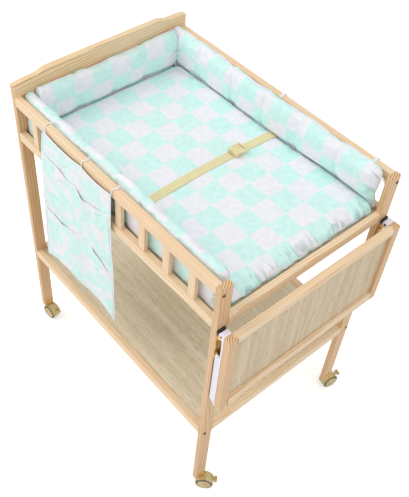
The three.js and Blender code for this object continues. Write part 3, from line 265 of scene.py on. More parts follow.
pine_lengthwise = planed_pine("lacquered pine, grain along the table", 1, 2, 0)
pine_crosswise = planed_pine("lacquered pine, grain across the table", 0, 2, 1)
# Painted shade: the upright pine gets darker shades than the rest, so that the posts' shaded sides come out
# dark
pine_upright_painted_shade = planed_pine("lacquered pine, grain upright", 0, 1, 2, ("EACFAE", "DABA95"))
pine_headboard = planed_pine("lacquered pine, headboard", 0, 2, 1, ("FFFBEE", "FFEED2"), "8A5A2C", 0.77)
pine_balusters = planed_pine("lacquered pine, balusters", 0, 1, 2)
finish_nodes(pine_upright_painted_shade, "front_left_post", "front_right_post", "rear_left_post", "rear_right_post",
             "flap_front_stile", "flap_rear_stile")
finish_nodes(pine_lengthwise, "front_top_rail", "rear_top_rail", "front_gallery", "rear_gallery",
             "front_shelf_rail", "rear_shelf_rail")
finish_nodes(pine_headboard, "headboard")
finish_nodes(pine_crosswise, "head_rail", "left_end_rail", "right_end_rail", "left_shelf_rail",
             "right_shelf_rail", "flap_top_bar", "flap_foot_bar")
# The balusters stand upright on their rail, so their grain does too
GALLERY_RAIL_TALL = 0.0275
for name in ("front_gallery", "rear_gallery"):
    gallery = frame["nodes"][name]
    gallery.data.materials.append(pine_balusters)
    rail_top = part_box(name)[0].z + GALLERY_RAIL_TALL
    for face in gallery.data.polygons:
        heights = [(gallery.matrix_world @ gallery.data.vertices[v].co).z for v in face.vertices]
        face.material_index = int(max(heights) >= rail_top)

# The boards: a thick plywood deck under the mattress, a thinner shelf and the flap's panel, each held in
# grooves all round. Their face veneer is rotary cut, so it is greyer than the pine, with long streaks and
# short fine pores.

PORE = 0.0016     # spacing of the pores across the veneer, drawn coarse enough to see


def rotary_veneer(name, across, beside, along, tones):
    """Plywood face whose streaks run along one object axis, from a dark, a middle and a pale tone."""
    material, tree, surface = new_material(name)
    sheet = grain_axes(tree, across, beside, along)[1]
    wide = add_node(tree, "ShaderNodeMapping", None, {"Vector": sheet, "Scale": (58, 58, 2.4)})
    streak = add_node(tree, "ShaderNodeTexNoise", None,
                      {"Vector": wide, "Scale": 1.0, "Detail": 4.0, "Distortion": 0.6})
    veneer = add_node(tree, "ShaderNodeValToRGB", {"stops": [*zip((0.32, 0.5, 0.68), tones)]}, {0: streak})
    fine = add_node(tree, "ShaderNodeMapping", None,
                    {"Vector": sheet, "Scale": (1 / PORE, 1 / PORE, 0.05 / PORE)})
    pores = add_node(tree, "ShaderNodeTexNoise", None, {"Vector": fine, "Scale": 1.0, "Detail": 2.0})
    marks = add_node(tree, "ShaderNodeValToRGB",
                     {"stops": [(0.36, "B8A07C"), (0.5, "FFFFFF")]}, {0: pores})
    veneer = add_node(tree, "ShaderNodeMix", {"data_type": "RGBA", "blend_type": "MULTIPLY"},
                      {0: 0.4, 6: veneer, 7: marks}, out=2)
    rough = add_node(tree, "ShaderNodeMapRange", None, {"Value": pores, "To Min": 0.5, "To Max": 0.64})
    lay_surface(surface, veneer, pores, 0.25, 0.0003, {"Roughness": rough, "IOR": 1.5})
    return material


# Painted light: these tones are paler than the panel's, to brighten the shelf in the shade under the deck
veneer_lengthwise_painted_light = rotary_veneer("lacquered plywood, grain along the table", 1, 2, 0,
                                  ("DED1B6", "E9DDC3", "F3EAD5"))
veneer_upright = rotary_veneer("lacquered plywood, grain upright", 1, 0, 2, ("D0BA98", "DAC6A5", "E3D2B5"))
finish_nodes(veneer_lengthwise_painted_light, "mattress_board", "shelf_board")
finish_nodes(veneer_upright, "flap_panel")

# The folding brackets: pressed steel arms that carry the flap. The arm on each post is zinc plated and
# passivated yellow; the arm on the flap and its brace are powder coated white, and a moulded black cap
# covers the top of the strip. The sheet edges are tumbled, so they catch the light in a thin line.


def eased(node, width, material):
    """A finished copy of a CAD piece: its flat faces made whole, its sharp edges rounded over."""
    cad_piece = frame["nodes"][node]
    mesh = cad_piece.data.copy()
    bm = bmesh.new()
    bm.from_mesh(mesh)
    bmesh.ops.remove_doubles(bm, verts=bm.verts, dist=1e-6)
    bmesh.ops.dissolve_limit(bm, angle_limit=math.radians(1.5), verts=bm.verts, edges=bm.edges)
    sharp = [edge for edge in bm.edges if edge.calc_face_angle(0) > math.radians(38)]
    bmesh.ops.bevel(bm, geom=sharp, offset=width, segments=3, profile=0.5, affect="EDGES", clamp_overlap=True)
    bm.to_mesh(mesh)
    bm.free()
    mesh.materials.clear()
    mesh.materials.append(material)
    mesh.shade_smooth()
    mesh.set_sharp_from_angle(angle=math.radians(42))
    piece = shown(node + "_eased", mesh)
    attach(piece, body_of(cad_piece)[0])
    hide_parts(node)


def hard_surface(name, shades, grain, rough, relief, metallic=0.0, coat=0.0):
    """Metal or moulded plastic: a slow change of shade, a fine grain in millimetres and its dulled patches."""
    material, tree, surface = new_material(name)
    coordinates = add_node(tree, "ShaderNodeTexCoord", out="Object")
    cloud = add_node(tree, "ShaderNodeTexNoise", None, {"Vector": coordinates, "Scale": 60.0, "Detail": 4.0})
    stops = [(0.32 + 0.36 * k / (len(shades) - 1), shade) for k, shade in enumerate(shades)]
    tint = add_node(tree, "ShaderNodeValToRGB", {"stops": stops}, {0: cloud})
    fine = add_node(tree, "ShaderNodeTexNoise", None,
                    {"Vector": coordinates, "Scale": 1000 / grain, "Detail": 2.0})
    dull = add_node(tree, "ShaderNodeMapRange", None,
                    {"Value": cloud, "From Min": 0.3, "From Max": 0.7, "To Min": rough[0], "To Max": rough[1]})
    lay_surface(surface, tint, fine, relief, 0.0002,
                {"Roughness": dull, "Metallic": metallic, "Coat Weight": coat, "Coat Roughness": 0.2})
    return material


# Powder coat: even and slightly orange-peeled, with a soft shine
powder_coat = hard_surface("white powder-coated steel", ["E9E5F1", "F4F1F8"], 1.4, (0.34, 0.44), 0.22,
                           coat=0.15)
# Yellow passivation: gold that drifts between straw and brown, dulled in patches
yellow_zinc = hard_surface("yellow-passivated zinc", ["C0903F", "E0B665", "F0D294"], 0.9, (0.34, 0.52), 0.18,
                           metallic=1.0)
# Black plastic: matt, with the faint grain of its mould
black_plastic = hard_surface("black moulded plastic", ["070708", "121213"], 0.7, (0.42, 0.55), 0.3)
for side in ("front", "rear"):
    for part, width, material, slot in (("fixed_arm", 0.0003, yellow_zinc, "zinc_steel"),
                                        ("moving_arm", 0.0004, powder_coat, "white_steel"),
                                        ("brace", 0.0004, powder_coat, "white_steel"),
                                        ("cap", 0.0009, black_plastic, "black_plastic")):
        eased(side + "_bracket_" + part, width, material)

# The casters: a zinc-plated bracket under each leg holds the stem of a cream nylon hood, which swivels with
# two nylon wheels and a brake pedal. The wheels have darker tyres, and a turned step and ring on each face.

HOOD_R, HOOD_SKIN = 0.0254, 0.0012       # the hood's radius and the thickness of its fenders
HOOD_HALF, WEB_HALF = 0.0134, 0.0062     # half its width over the fenders, and over its middle web
WHEEL_R, WHEEL_OUT, WHEEL_IN = 0.0235, 0.016, 0.0068     # radius, outer and inner face of the twin wheels
TRAIL = 0.018     # how far the axle runs behind the stem
PIVOT_R, PIVOT_ANGLE = 0.0195, math.radians(40)     # the pedal's pin, from the axle
# The way each caster happens to stand, in degrees round its stem
trail_angles = {"front_left": 8, "front_right": 42, "rear_left": 118, "rear_right": 78}


def face_outwards(mesh):
    """Turns the faces of a closed mesh outwards."""
    bm = bmesh.new()
    bm.from_mesh(mesh)
    bmesh.ops.recalc_face_normals(bm, faces=bm.faces)
    bm.to_mesh(mesh)
    bm.free()


def solid(name, rings, looped=False, open_foot=False):
    """A mesh through rings of points: looped round to its start, or with a face on its last ring and, unless
    its foot is open, on its first."""
    count, total = len(rings[0]), len(rings)
    faces = []
    for k in range(total if looped else total - 1):
        a, b = k * count, (k + 1) % total * count
        faces += [[a + i, a + (i + 1) % count, b + (i + 1) % count, b + i] for i in range(count)]
    if not looped and not open_foot:
        faces.append(list(range(count))[::-1])
    if not looped:
        faces.append(list(range((total - 1) * count, total * count)))
    mesh = bpy.data.meshes.new(name)
    mesh.from_pydata([point for ring in rings for point in ring], [], faces)
    face_outwards(mesh)
    return mesh


def bar(outline, low, high):
    """An outline in x and z, made solid between two places on y."""
    return solid("bar", [[Vector((x, y, z)) for x, z in outline] for y in (low, high)])


def arc(x, z, radius, start, sweep, steps):
    """Points along an arc round a centre, its two ends included."""
    turns = [start + sweep * k / steps for k in range(steps + 1)]
    return [(x + radius * math.cos(turn), z + radius * math.sin(turn)) for turn in turns]


def circle(x, z, radius, steps=48):
    """Points round a circle."""
    return arc(x, z, radius, 0, math.tau, steps)[:-1]


def lathed(name, profile, steps):
    """A closed mesh through level circles round the stem, each a height and a radius."""
    return solid(name, [[Vector((x, y, height)) for x, y in circle(0, 0, radius, steps)]
                        for height, radius in profile])


def carved(first, added, removed, edge):
    """One body from joined and cut closed meshes, its sharp edges rounded over."""
    piece = shown("carving", first)
    tools = []
    for mesh, operation in [(m, "UNION") for m in added] + [(m, "DIFFERENCE") for m in removed]:
        tool = shown("tool", mesh)
        tools.append(tool)
        step = piece.modifiers.new("step", "BOOLEAN")
        step.operation, step.object, step.solver = operation, tool, "EXACT"
    rounding = piece.modifiers.new("rounded edges", "BEVEL")
    rounding.width, rounding.segments, rounding.limit_method = edge, 3, "ANGLE"
    rounding.angle_limit = math.radians(40)
    graph = bpy.context.evaluated_depsgraph_get()
    mesh = bpy.data.meshes.new_from_object(piece.evaluated_get(graph))
    for used in [piece, *tools]:
        bpy.data.objects.remove(used)
    mesh.shade_smooth()
    mesh.set_sharp_from_angle(angle=math.radians(45))
    return mesh


# The hood's side view is a dome that ends a little below the axle and a hub under the axle. The stem's socket
# is joined to it; the wheel wells, the stem's bore, the pedal's slot and both pin holes are cut out of it.
skirt = math.radians(8)
dome = arc(TRAIL, WHEEL_R, HOOD_R, -skirt, math.pi + 2 * skirt, 48)
hub = arc(TRAIL, WHEEL_R, 0.007, math.radians(210), math.radians(120), 12)
socket = lathed("socket", ((0.027, 0.008624), (0.044, 0.0088), (0.0478, 0.008976), (0.0497, 0.0088)), 48)
bore = lathed("bore", ((0.0305, 0.0045), (0.056, 0.0045)), 32)
pivot_x, pivot_z = TRAIL + PIVOT_R * math.cos(PIVOT_ANGLE), WHEEL_R + PIVOT_R * math.sin(PIVOT_ANGLE)
pedal_slot = bar([(pivot_x + u, pivot_z + v) for u, v in (
    (-0.0042, -0.0042), (0, -0.0042), (0.024, -0.0103), (0.024, 0.0076), (0, 0.0042), (-0.0042, 0.0042))],
    -0.0044, 0.0044)
well = circle(TRAIL, WHEEL_R, HOOD_R - HOOD_SKIN, 72)
pin_holes = [bar(circle(*place), -0.01, 0.01)
             for place in ((TRAIL, WHEEL_R, 0.0034), (pivot_x, pivot_z, 0.0019))]
hood_mesh = carved(bar(dome + hub, -HOOD_HALF, HOOD_HALF), [socket],
                   [bar(well, WEB_HALF, 0.02), bar(well, -0.02, -WEB_HALF), bore, pedal_slot, *pin_holes],
                   edge=0.0005)

# From the middle of the axle outwards: tread, shoulder, rolled edge, step, dished face, ring and boss
half_profile = [
    (0.003, 0), (0.003, WHEEL_IN), (WHEEL_R - 0.001, WHEEL_IN), (WHEEL_R, WHEEL_IN + 0.001),
    (WHEEL_R, WHEEL_OUT - 0.0024), (WHEEL_R - 0.0006, WHEEL_OUT - 0.0009), (WHEEL_R - 0.002, WHEEL_OUT),
    (WHEEL_R - 0.0046, WHEEL_OUT), (WHEEL_R - 0.0056, WHEEL_OUT - 0.0006),
    (WHEEL_R - 0.0062, WHEEL_OUT - 0.0016), (0.0126, WHEEL_OUT - 0.0018), (0.0122, WHEEL_OUT - 0.0011),
    (0.0112, WHEEL_OUT - 0.0011), (0.0108, WHEEL_OUT - 0.0018), (0.0088, WHEEL_OUT - 0.0017),
    (0.0076, WHEEL_OUT - 0.0008), (0.0058, WHEEL_OUT - 0.0008), (0.0052, WHEEL_OUT - 0.0016),
    (0.0006, WHEEL_OUT - 0.0014),
]
profile = [(r, -w) for r, w in reversed(half_profile)] + half_profile[1:]
wheel_mesh = solid("wheels", [[Vector((x, w, z)) for x, z in circle(TRAIL, WHEEL_R, r, 72)]
                              for r, w in profile])
wheel_mesh.shade_smooth()
wheel_mesh.set_sharp_from_angle(angle=math.radians(50))

# Nylon: a warm cream with a satin face, yellowed a little in places
cream_nylon = hard_surface("cream moulded nylon", ["BBA568", "CFB981", "DDCDA0"], 0.8, (0.34, 0.5), 0.2,
                           coat=0.1)
# Rolling dulls the tyres and dust darkens them
worn_tyre = hard_surface("dulled tyre rubber", ["4C4638", "6A624E", "857C65"], 0.5, (0.6, 0.8), 0.4)
hood_mesh.materials.append(cream_nylon)
wheel_mesh.materials.append(cream_nylon)
wheel_mesh.materials.append(worn_tyre)
for face in wheel_mesh.polygons:
    reach = math.hypot(face.center.x - TRAIL, face.center.z - WHEEL_R)
    face.material_index = int(reach > WHEEL_R - 0.0034 and abs(face.center.y) > WHEEL_IN)
for corner, angle in trail_angles.items():
    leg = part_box(corner + "_post")
    stands = Matrix.Translation(((leg[0].x + leg[1].x) / 2, (leg[0].y + leg[1].y) / 2, 0))
    for part, mesh, body in (("_caster_hood", hood_mesh, "_swivel"),
                             ("_caster_wheels", wheel_mesh, "_wheels")):
        mesh = mesh.copy()
        mesh.transform(stands @ Matrix.Rotation(math.radians(angle), 4, "Z"))
        piece = shown(corner + part + "_smooth", mesh)
        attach(piece, corner + body)
        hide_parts(corner + part)
    eased(corner + "_caster_brake", 0.0007, cream_nylon)
    eased(corner + "_leg_bracket", 0.0004, yellow_zinc)

# The flap's joints: the top bar and the foot bar end in stub tenons of the same pine, which fill the stiles'
# grooves and show on their ends. A thin dark line, painted shade of the joint's gap, marks each shoulder.

# Painted shade: a thin brown line, slightly glossy, that stands in for the shadow in each joint's gap
painted_joint_shade = hard_surface("hardened wood glue", ["5B3A1E", "80572F"], 0.5, (0.3, 0.5), 0.2)
TOP_BAR_TALL, FOOT_BAR_TALL = 0.018, 0.028
GROOVE, GROOVE_DEEP = (0.0068, 0.0122), 0.0049     # the groove's two sides, from the stile's inner face
for side, facing in (("front", 1), ("rear", -1)):
    low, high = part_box("flap_" + side + "_stile")
    shoulder = high.y if facing > 0 else low.y
    for place, top, foot in (("top", high.z, high.z - TOP_BAR_TALL), ("foot", low.z + FOOT_BAR_TALL, low.z)):
        # The second piece is a thin dark sliver at each shoulder: painted shade of the joint's gap
        for what, near, far, inside, outside, gap, material in (
                ("tenon", low.x + GROOVE[0], low.x + GROOVE[1], GROOVE_DEEP, 0, 0.0002, pine_crosswise),
                ("glue_line", high.x - 0.0012, high.x + 0.00008, 0.00015, 0.0002, 0.0004, painted_joint_shade)):
            mesh = bar([(near, foot + gap), (far, foot + gap), (far, top - gap), (near, top - gap)],
                       *sorted((shoulder - facing * inside, shoulder + facing * outside)))
            mesh.materials.append(material)
            piece = shown("flap_" + side + "_" + place + "_" + what, mesh)
            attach(piece, "flap")

# The mattress: a foam slab in a sewn cotton cover, printed with mint and white squares. It lies loose on
# the deck, crowned in the middle and soft at its edges, and at the flap end the cover is gathered into its
# seam, so small pleats run in from there. The cover is blown up tight with the cloth solver.

SQUARE = 0.0588     # side of one printed square
THREAD = 0.0013     # thread spacing, about four times the real one so that the weave shows


def printed_cotton(name, across, along, sway=0.012, creased=0.4, pleated_end=None, mint_share=None):
    """Woven cotton with a print of squares that starts at across, along and wanders by sway, in metres. It is
    creased all over, and drawn into pleats near its pleated end; the sharpest creases and pleats are painted
    darker, as painted shade. A mint_share lets the mint run over part of the white."""
    material, tree, surface = new_material(name)
    cloth = add_node(tree, "ShaderNodeUVMap", {"uv_map": "cloth"})
    drift = add_node(tree, "ShaderNodeTexNoise", None, {"Vector": cloth, "Scale": 9.0, "Detail": 1.0}, out=1)
    drift = add_node(tree, "ShaderNodeVectorMath", {"operation": "SUBTRACT"}, {0: drift, 1: (0.5, 0.5, 0.5)})
    swayed = add_node(tree, "ShaderNodeVectorMath", {"operation": "MULTIPLY_ADD"},
                      {0: drift, 1: (sway, sway, 0), 2: cloth})
    laid = add_node(tree, "ShaderNodeMapping", None, {
        "Vector": swayed, "Location": (-across / SQUARE, -along / SQUARE, 0.5),
        "Scale": (1 / SQUARE, 1 / SQUARE, 0)})
    dye = add_node(tree, "ShaderNodeTexNoise", None, {"Vector": cloth, "Scale": 70.0, "Detail": 4.0})
    mint = add_node(tree, "ShaderNodeValToRGB",
                    {"stops": [(0.3, "CAF1EA"), (0.7, "DAF9F5")]}, {0: dye})
    white = add_node(tree, "ShaderNodeValToRGB",
                     {"stops": [(0.3, "EAEBF1"), (0.7, "F4F3F8")]}, {0: dye})
    squares = add_node(tree, "ShaderNodeTexChecker", None,
                       {"Vector": laid, "Color1": mint, "Color2": white, "Scale": 1.0})
    if mint_share:
        bled = add_node(tree, "ShaderNodeTexNoise", None, {"Vector": cloth, "Scale": 16.0, "Detail": 3.0})
        bled = add_node(tree, "ShaderNodeMapRange", None,
                        {"Value": bled, "From Min": 0.5, "From Max": 0.58, "To Max": mint_share})
        squares = add_node(tree, "ShaderNodeMix", {"data_type": "RGBA"}, {0: bled, 6: squares, 7: mint}, out=2)

    threads = add_node(tree, "ShaderNodeMapping", None,
                       {"Vector": cloth, "Scale": (math.tau / THREAD, math.tau / THREAD, 0)})
    lines = add_node(tree, "ShaderNodeSeparateXYZ", None, {0: threads}).node.outputs
    warp = add_node(tree, "ShaderNodeMath", {"operation": "SINE"}, {0: lines[0]})
    weft = add_node(tree, "ShaderNodeMath", {"operation": "SINE"}, {0: lines[1]})
    weave = add_node(tree, "ShaderNodeMath", {"operation": "MULTIPLY"}, {0: warp, 1: weft})
    creases = add_node(tree, "ShaderNodeTexNoise", {"noise_type": "RIDGED_MULTIFRACTAL"},
                       {"Vector": cloth, "Scale": 15.0, "Detail": 0.0, "Offset": 1.0, "Distortion": 1.2})
    # Painted shade: the colour is darkened along the sharpest creases
    painted_crease_shade = add_node(tree, "ShaderNodeMapRange", None,
                       {"Value": creases, "From Min": 0.9, "From Max": 1.0, "To Max": 0.34 * creased ** 2})
    crumple = add_node(tree, "ShaderNodeBump", None,
                       {"Height": creases, "Strength": creased, "Distance": 0.0024})
    if pleated_end:
        reach = add_node(tree, "ShaderNodeSeparateXYZ", None, {0: cloth})
        reach = add_node(tree, "ShaderNodeMapRange", None,
                         {"Value": reach, "From Min": pleated_end - 0.06, "From Max": pleated_end})
        uneven = add_node(tree, "ShaderNodeTexNoise", None, {"Vector": cloth, "Scale": 21.0, "Detail": 1.0})
        uneven = add_node(tree, "ShaderNodeMapRange", None,
                          {"Value": uneven, "From Min": 0.3, "From Max": 0.5})
        reach = add_node(tree, "ShaderNodeMath", {"operation": "MULTIPLY"}, {0: reach, 1: uneven})
        drawn = add_node(tree, "ShaderNodeMapping", None, {"Vector": cloth, "Scale": (14, 47, 1)})
        pleats = add_node(tree, "ShaderNodeTexNoise", {"noise_type": "RIDGED_MULTIFRACTAL"},
                          {"Vector": drawn, "Scale": 1.0, "Detail": 0.0, "Offset": 1.0, "Distortion": 1.0})
        pleats = add_node(tree, "ShaderNodeMath", {"operation": "MULTIPLY"}, {0: pleats, 1: reach})
        # Painted shade: the colour is darkened along the pleats' folds
        painted_pleat_shade = add_node(tree, "ShaderNodeMapRange", None,
                               {"Value": pleats, "From Min": 0.35, "From Max": 1.0, "To Max": 0.6})
        painted_crease_shade = add_node(tree, "ShaderNodeMath", {"operation": "MAXIMUM"}, {0: painted_crease_shade, 1: painted_pleat_shade})
        crumple = add_node(tree, "ShaderNodeBump", None,
                           {"Height": pleats, "Strength": 0.6, "Distance": 0.0045, "Normal": crumple})
    # The print, multiplied towards a grey teal by the painted shade of the creases and pleats
    print_colour = add_node(tree, "ShaderNodeMix", {"data_type": "RGBA", "blend_type": "MULTIPLY"},
                            {0: painted_crease_shade, 6: squares, 7: colour("8CA39C")}, out=2)
    thread_relief = add_node(tree, "ShaderNodeBump", None,
                             {"Height": weave, "Strength": 0.12, "Distance": 0.0002, "Normal": crumple})
    fill(surface, {"Base Color": print_colour, "Normal": thread_relief, "Roughness": 0.86, "IOR": 1.45,
                   "Sheen Weight": 0.25, "Sheen Roughness": 0.5})
    return material


def sewn_cover(name, points, faces, cloth_corners, seams, room):
    """A closed cover from its cut pattern, blown up tight. Seams hold their place, each by its own share, and
    no point moves further than room."""
    mesh = bpy.data.meshes.new(name)
    mesh.from_pydata(points, [], faces)
    cloth = mesh.uv_layers.new(name="cloth")
    for loop, corner in zip(cloth.data, cloth_corners):
        loop.uv = corner
    face_outwards(mesh)
    piece = shown(name, mesh)
    cut = [v.co.copy() for v in mesh.vertices]
    held = piece.vertex_groups.new(name="seams")
    for index, hold in seams.items():
        held.add([index], hold, "REPLACE")
    solver = piece.modifiers.new("filling", "CLOTH")
    solver.collision_settings.use_collision = False
    solver.collision_settings.use_self_collision = False
    settings = solver.settings
    settings.quality = 4
    settings.vertex_group_mass = "seams"
    settings.use_pressure = True
    settings.uniform_pressure_force = 4
    settings.shrink_min = -0.05
    settings.tension_stiffness = settings.compression_stiffness = 8
    settings.bending_stiffness = 0.3
    settings.effector_weights.gravity = 0
    for step in range(1, 21):
        bpy.context.scene.frame_set(step)
    graph = bpy.context.evaluated_depsgraph_get()
    blown = [v.co.copy() for v in piece.evaluated_get(graph).data.vertices]
    piece.modifiers.remove(solver)
    bpy.context.scene.frame_set(1)
    for vertex, start, end in zip(mesh.vertices, cut, blown):
        move = end - start
        vertex.co = start + move * min(1, room / max(move.length, 1e-9))
    mesh.shade_smooth()
    return piece


def soften(piece):
    """One level of subdivision, as a finished cover gets."""
    rounding = piece.modifiers.new("soft surface", "SUBSURF")
    rounding.levels = rounding.render_levels = 1


MATTRESS_CORNER = 0.024     # radius of its corners, seen from above
COVER_PITCH = 0.008         # spacing of the cover's points
CROWN = 0.004               # how much the filling lifts its middle
PLEAT_PITCH, PLEAT_DEEP = 0.021, 0.003
slab_low, slab_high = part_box("mattress")
slab_middle = (slab_low + slab_high) / 2
half_long, half_wide = (slab_high.x - slab_low.x) / 2 + 0.001, (slab_high.y - slab_low.y) / 2 - 0.0028
slab_thick = slab_high.z - slab_low.z - 0.006


def plan_point(s, t):
    """A point of a square grid, from -1 to 1 each way, moved into the mattress's round-cornered plan."""
    x, y = s * half_long, t * half_wide
    a = (abs(x) - half_long + MATTRESS_CORNER) / MATTRESS_CORNER
    b = (abs(y) - half_wide + MATTRESS_CORNER) / MATTRESS_CORNER
    if a > 0 and b > 0:
        round_a, round_b = a * math.sqrt(1 - b * b / 2), b * math.sqrt(1 - a * a / 2)
        x = math.copysign(half_long - MATTRESS_CORNER + round_a * MATTRESS_CORNER, x)
        y = math.copysign(half_wide - MATTRESS_CORNER + round_b * MATTRESS_CORNER, y)
    return x, y


columns = round(2 * half_long / COVER_PITCH)
rows = round(2 * half_wide / COVER_PITCH)
border = ([(i, 0) for i in range(columns)] + [(columns, j) for j in range(rows)]
          + [(i, rows) for i in range(columns, 0, -1)] + [(0, j) for j in range(rows, 0, -1)])
plan = {(i, j): plan_point(2 * i / columns - 1, 2 * j / rows - 1)
        for i in range(columns + 1) for j in range(rows + 1)}
points, faces, corners, seams = [], [], [], {}
top_index, base_index = {}, {}
for (i, j), (x, y) in plan.items():
    fall = 0.12 * (1 - min(1, min(half_long + x, half_wide - abs(y)) / 0.006)) ** 2
    fall = max(fall, (1 - min(1, (half_long - x) / 0.009)) ** 2)
    crown = CROWN * (1 - (x / half_long) ** 2) * (1 - (y / half_wide) ** 2)
    top_index[i, j] = len(points)
    points.append(slab_middle + Vector((x, y, 0)))
    points[-1].z = slab_low.z + slab_thick * (1 - 0.2 * fall) - 0.004 + crown
    base_index[i, j] = len(points)
    points.append(Vector((slab_middle.x + x * 0.985, slab_middle.y + y * 0.985, slab_low.z + 0.0005)))
for i in range(columns):
    for j in range(rows):
        around = [(i, j), (i + 1, j), (i + 1, j + 1), (i, j + 1)]
        faces.append([top_index[at] for at in around])
        corners += [plan[at] for at in around]
        faces.append([base_index[at] for at in reversed(around)])
        corners += [plan[at] for at in reversed(around)]
wall = [[top_index[at] for at in border]]
for bulge, share in ((0.001, 0.62), (0.0015, 0.4), (0.0005, 0.16)):
    level = []
    for at in border:
        x, y = plan[at]
        out = Vector((x / half_long, y / half_wide, 0)).normalized() * bulge
        level.append(len(points))
        points.append(Vector((slab_middle.x + x + out.x, slab_middle.y + y + out.y,
                              slab_low.z + slab_thick * share)))
    wall.append(level)
wall.append([base_index[at] for at in border])
for level, (above, below) in enumerate(zip(wall, wall[1:])):
    for k, at in enumerate(border):
        n = (k + 1) % len(border)
        faces.append([above[k], below[k], below[n], above[n]])
        for place, depth in ((at, level), (at, level + 1), (border[n], level + 1), (border[n], level)):
            x, y = plan[place]
            reach = 1 + depth * 0.009 / math.hypot(x, y)
            corners.append((x * reach, y * reach))
for index in wall[0] + wall[-1]:
    seams[index] = 0.85
mattress = sewn_cover("mattress_cover", points, faces, corners, seams, room=0.004)


def eased_step(value):
    """0 below 0, 1 above 1 and a soft rise between."""
    value = max(0, min(1, value))
    return value * value * (3 - 2 * value)


def crowding(x):
    """How far the mattress pushes the rear bumper's foot back towards its rail: more towards the flap end."""
    return 0.009 * eased_step((x - middle.x - 0.06) / 0.17)


# Pleats from the gathered seam at the flap end, and the slight unevenness of a used foam slab
for vertex in mattress.data.vertices:
    x, y, z = vertex.co - slab_middle
    vertex.co.x += 0.003 * eased_step((x - half_long + 0.2) / 0.2)
    vertex.co.y += crowding(vertex.co.x) * eased_step(y / half_wide)
    corner = eased_step((x - half_long + 0.05) / 0.05) * eased_step((y - half_wide + 0.05) / 0.05)
    vertex.co += Vector((0.005, 0.003, -0.003)) * corner
    if z > -slab_thick / 3:
        inward = max(0, half_long - x)
        pleat = math.sin(math.tau * (y / PLEAT_PITCH + 1.1 * noise.noise(Vector((y * 19, x * 6, 0)))))
        reach = 0.05 + 0.03 * noise.noise(Vector((y * 12, 5, 2)))
        vertex.co.z += PLEAT_DEEP * max(0, 1 - inward / reach) ** 1.4 * pleat
        vertex.co.z -= 0.004 * max(0, 1 - inward / 0.05) ** 2
        vertex.co.z += 0.0019 * noise.noise(Vector((x * 9, y * 9, 1.7)))
        vertex.co.x += 0.003 * max(0, 1 - inward / 0.03) * noise.noise(Vector((y * 16, 0, 8)))
mattress.data.materials.append(printed_cotton("printed cotton, mattress", 0.081 + middle.x - slab_middle.x,
                                              -0.009 + middle.y - slab_middle.y, pleated_end=half_long))
soften(mattress)
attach(mattress, "frame")
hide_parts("mattress")

# The bumpers: three long pads of the same cotton round fibre filling, one on each long side and one at the
# head. Their foot is thin beside the mattress and they are full above it; they are quilted through about
# every twelve centimetres and drawn together at their ends.

# The section, in shares of the foot's width and of the pad's height
section_shares = [
    (0.02, 0.03), (0.14, 0), (0.86, 0), (0.98, 0.05), (0.97, 0.15), (0.99, 0.24), (1.22, 0.285), (1.5, 0.335),
    (1.64, 0.5), (1.68, 0.75), (1.56, 0.91), (1.2, 0.985), (0.76, 1), (0.34, 0.985), (0.08, 0.92), (0.02, 0.7),
    (0.02, 0.35),
]
BUMPER_FOOT, BUMPER_TALL = 0.020, 0.124
BUMPER_PITCH = 0.0075     # spacing of the cover's points along a pad
SECTION_POINTS = 44       # how many of them go round it
MID_LINE = 0.087          # height of the line between the two rows of squares, above the deck
DRAWN_IN, GATHERED = 0.026, 0.055     # how far from its ends a pad narrows, and how far its gathers run


def smooth_ring(shares, count, fuller):
    """Points spaced evenly along a smooth closed curve through the shares, its upper half made taller."""
    ring = [Vector((a * BUMPER_FOOT, b * BUMPER_TALL + fuller * eased_step((b - 0.45) / 0.4)))
            for a, b in shares]
    fine = []
    for k in range(len(ring)):
        p, q, r, s = (ring[(k + step) % len(ring)] for step in (-1, 0, 1, 2))
        for m in range(12):
            t = m / 12
            fine.append(((2 * q) + (r - p) * t + (2 * p - 5 * q + 4 * r - s) * t * t
                         + (3 * q - p - 3 * r + s) * t ** 3) / 2)
    steps = [(b - a).length for a, b in zip(fine, fine[1:] + fine[:1])]
    spacing, even, walked, target = sum(steps) / count, [], 0, 0
    for k, step in enumerate(steps):
        while target < walked + step - 1e-12 and len(even) < count:
            even.append(fine[k].lerp(fine[(k + 1) % len(fine)], (target - walked) / step))
            target += spacing
        walked += step
    return even, spacing


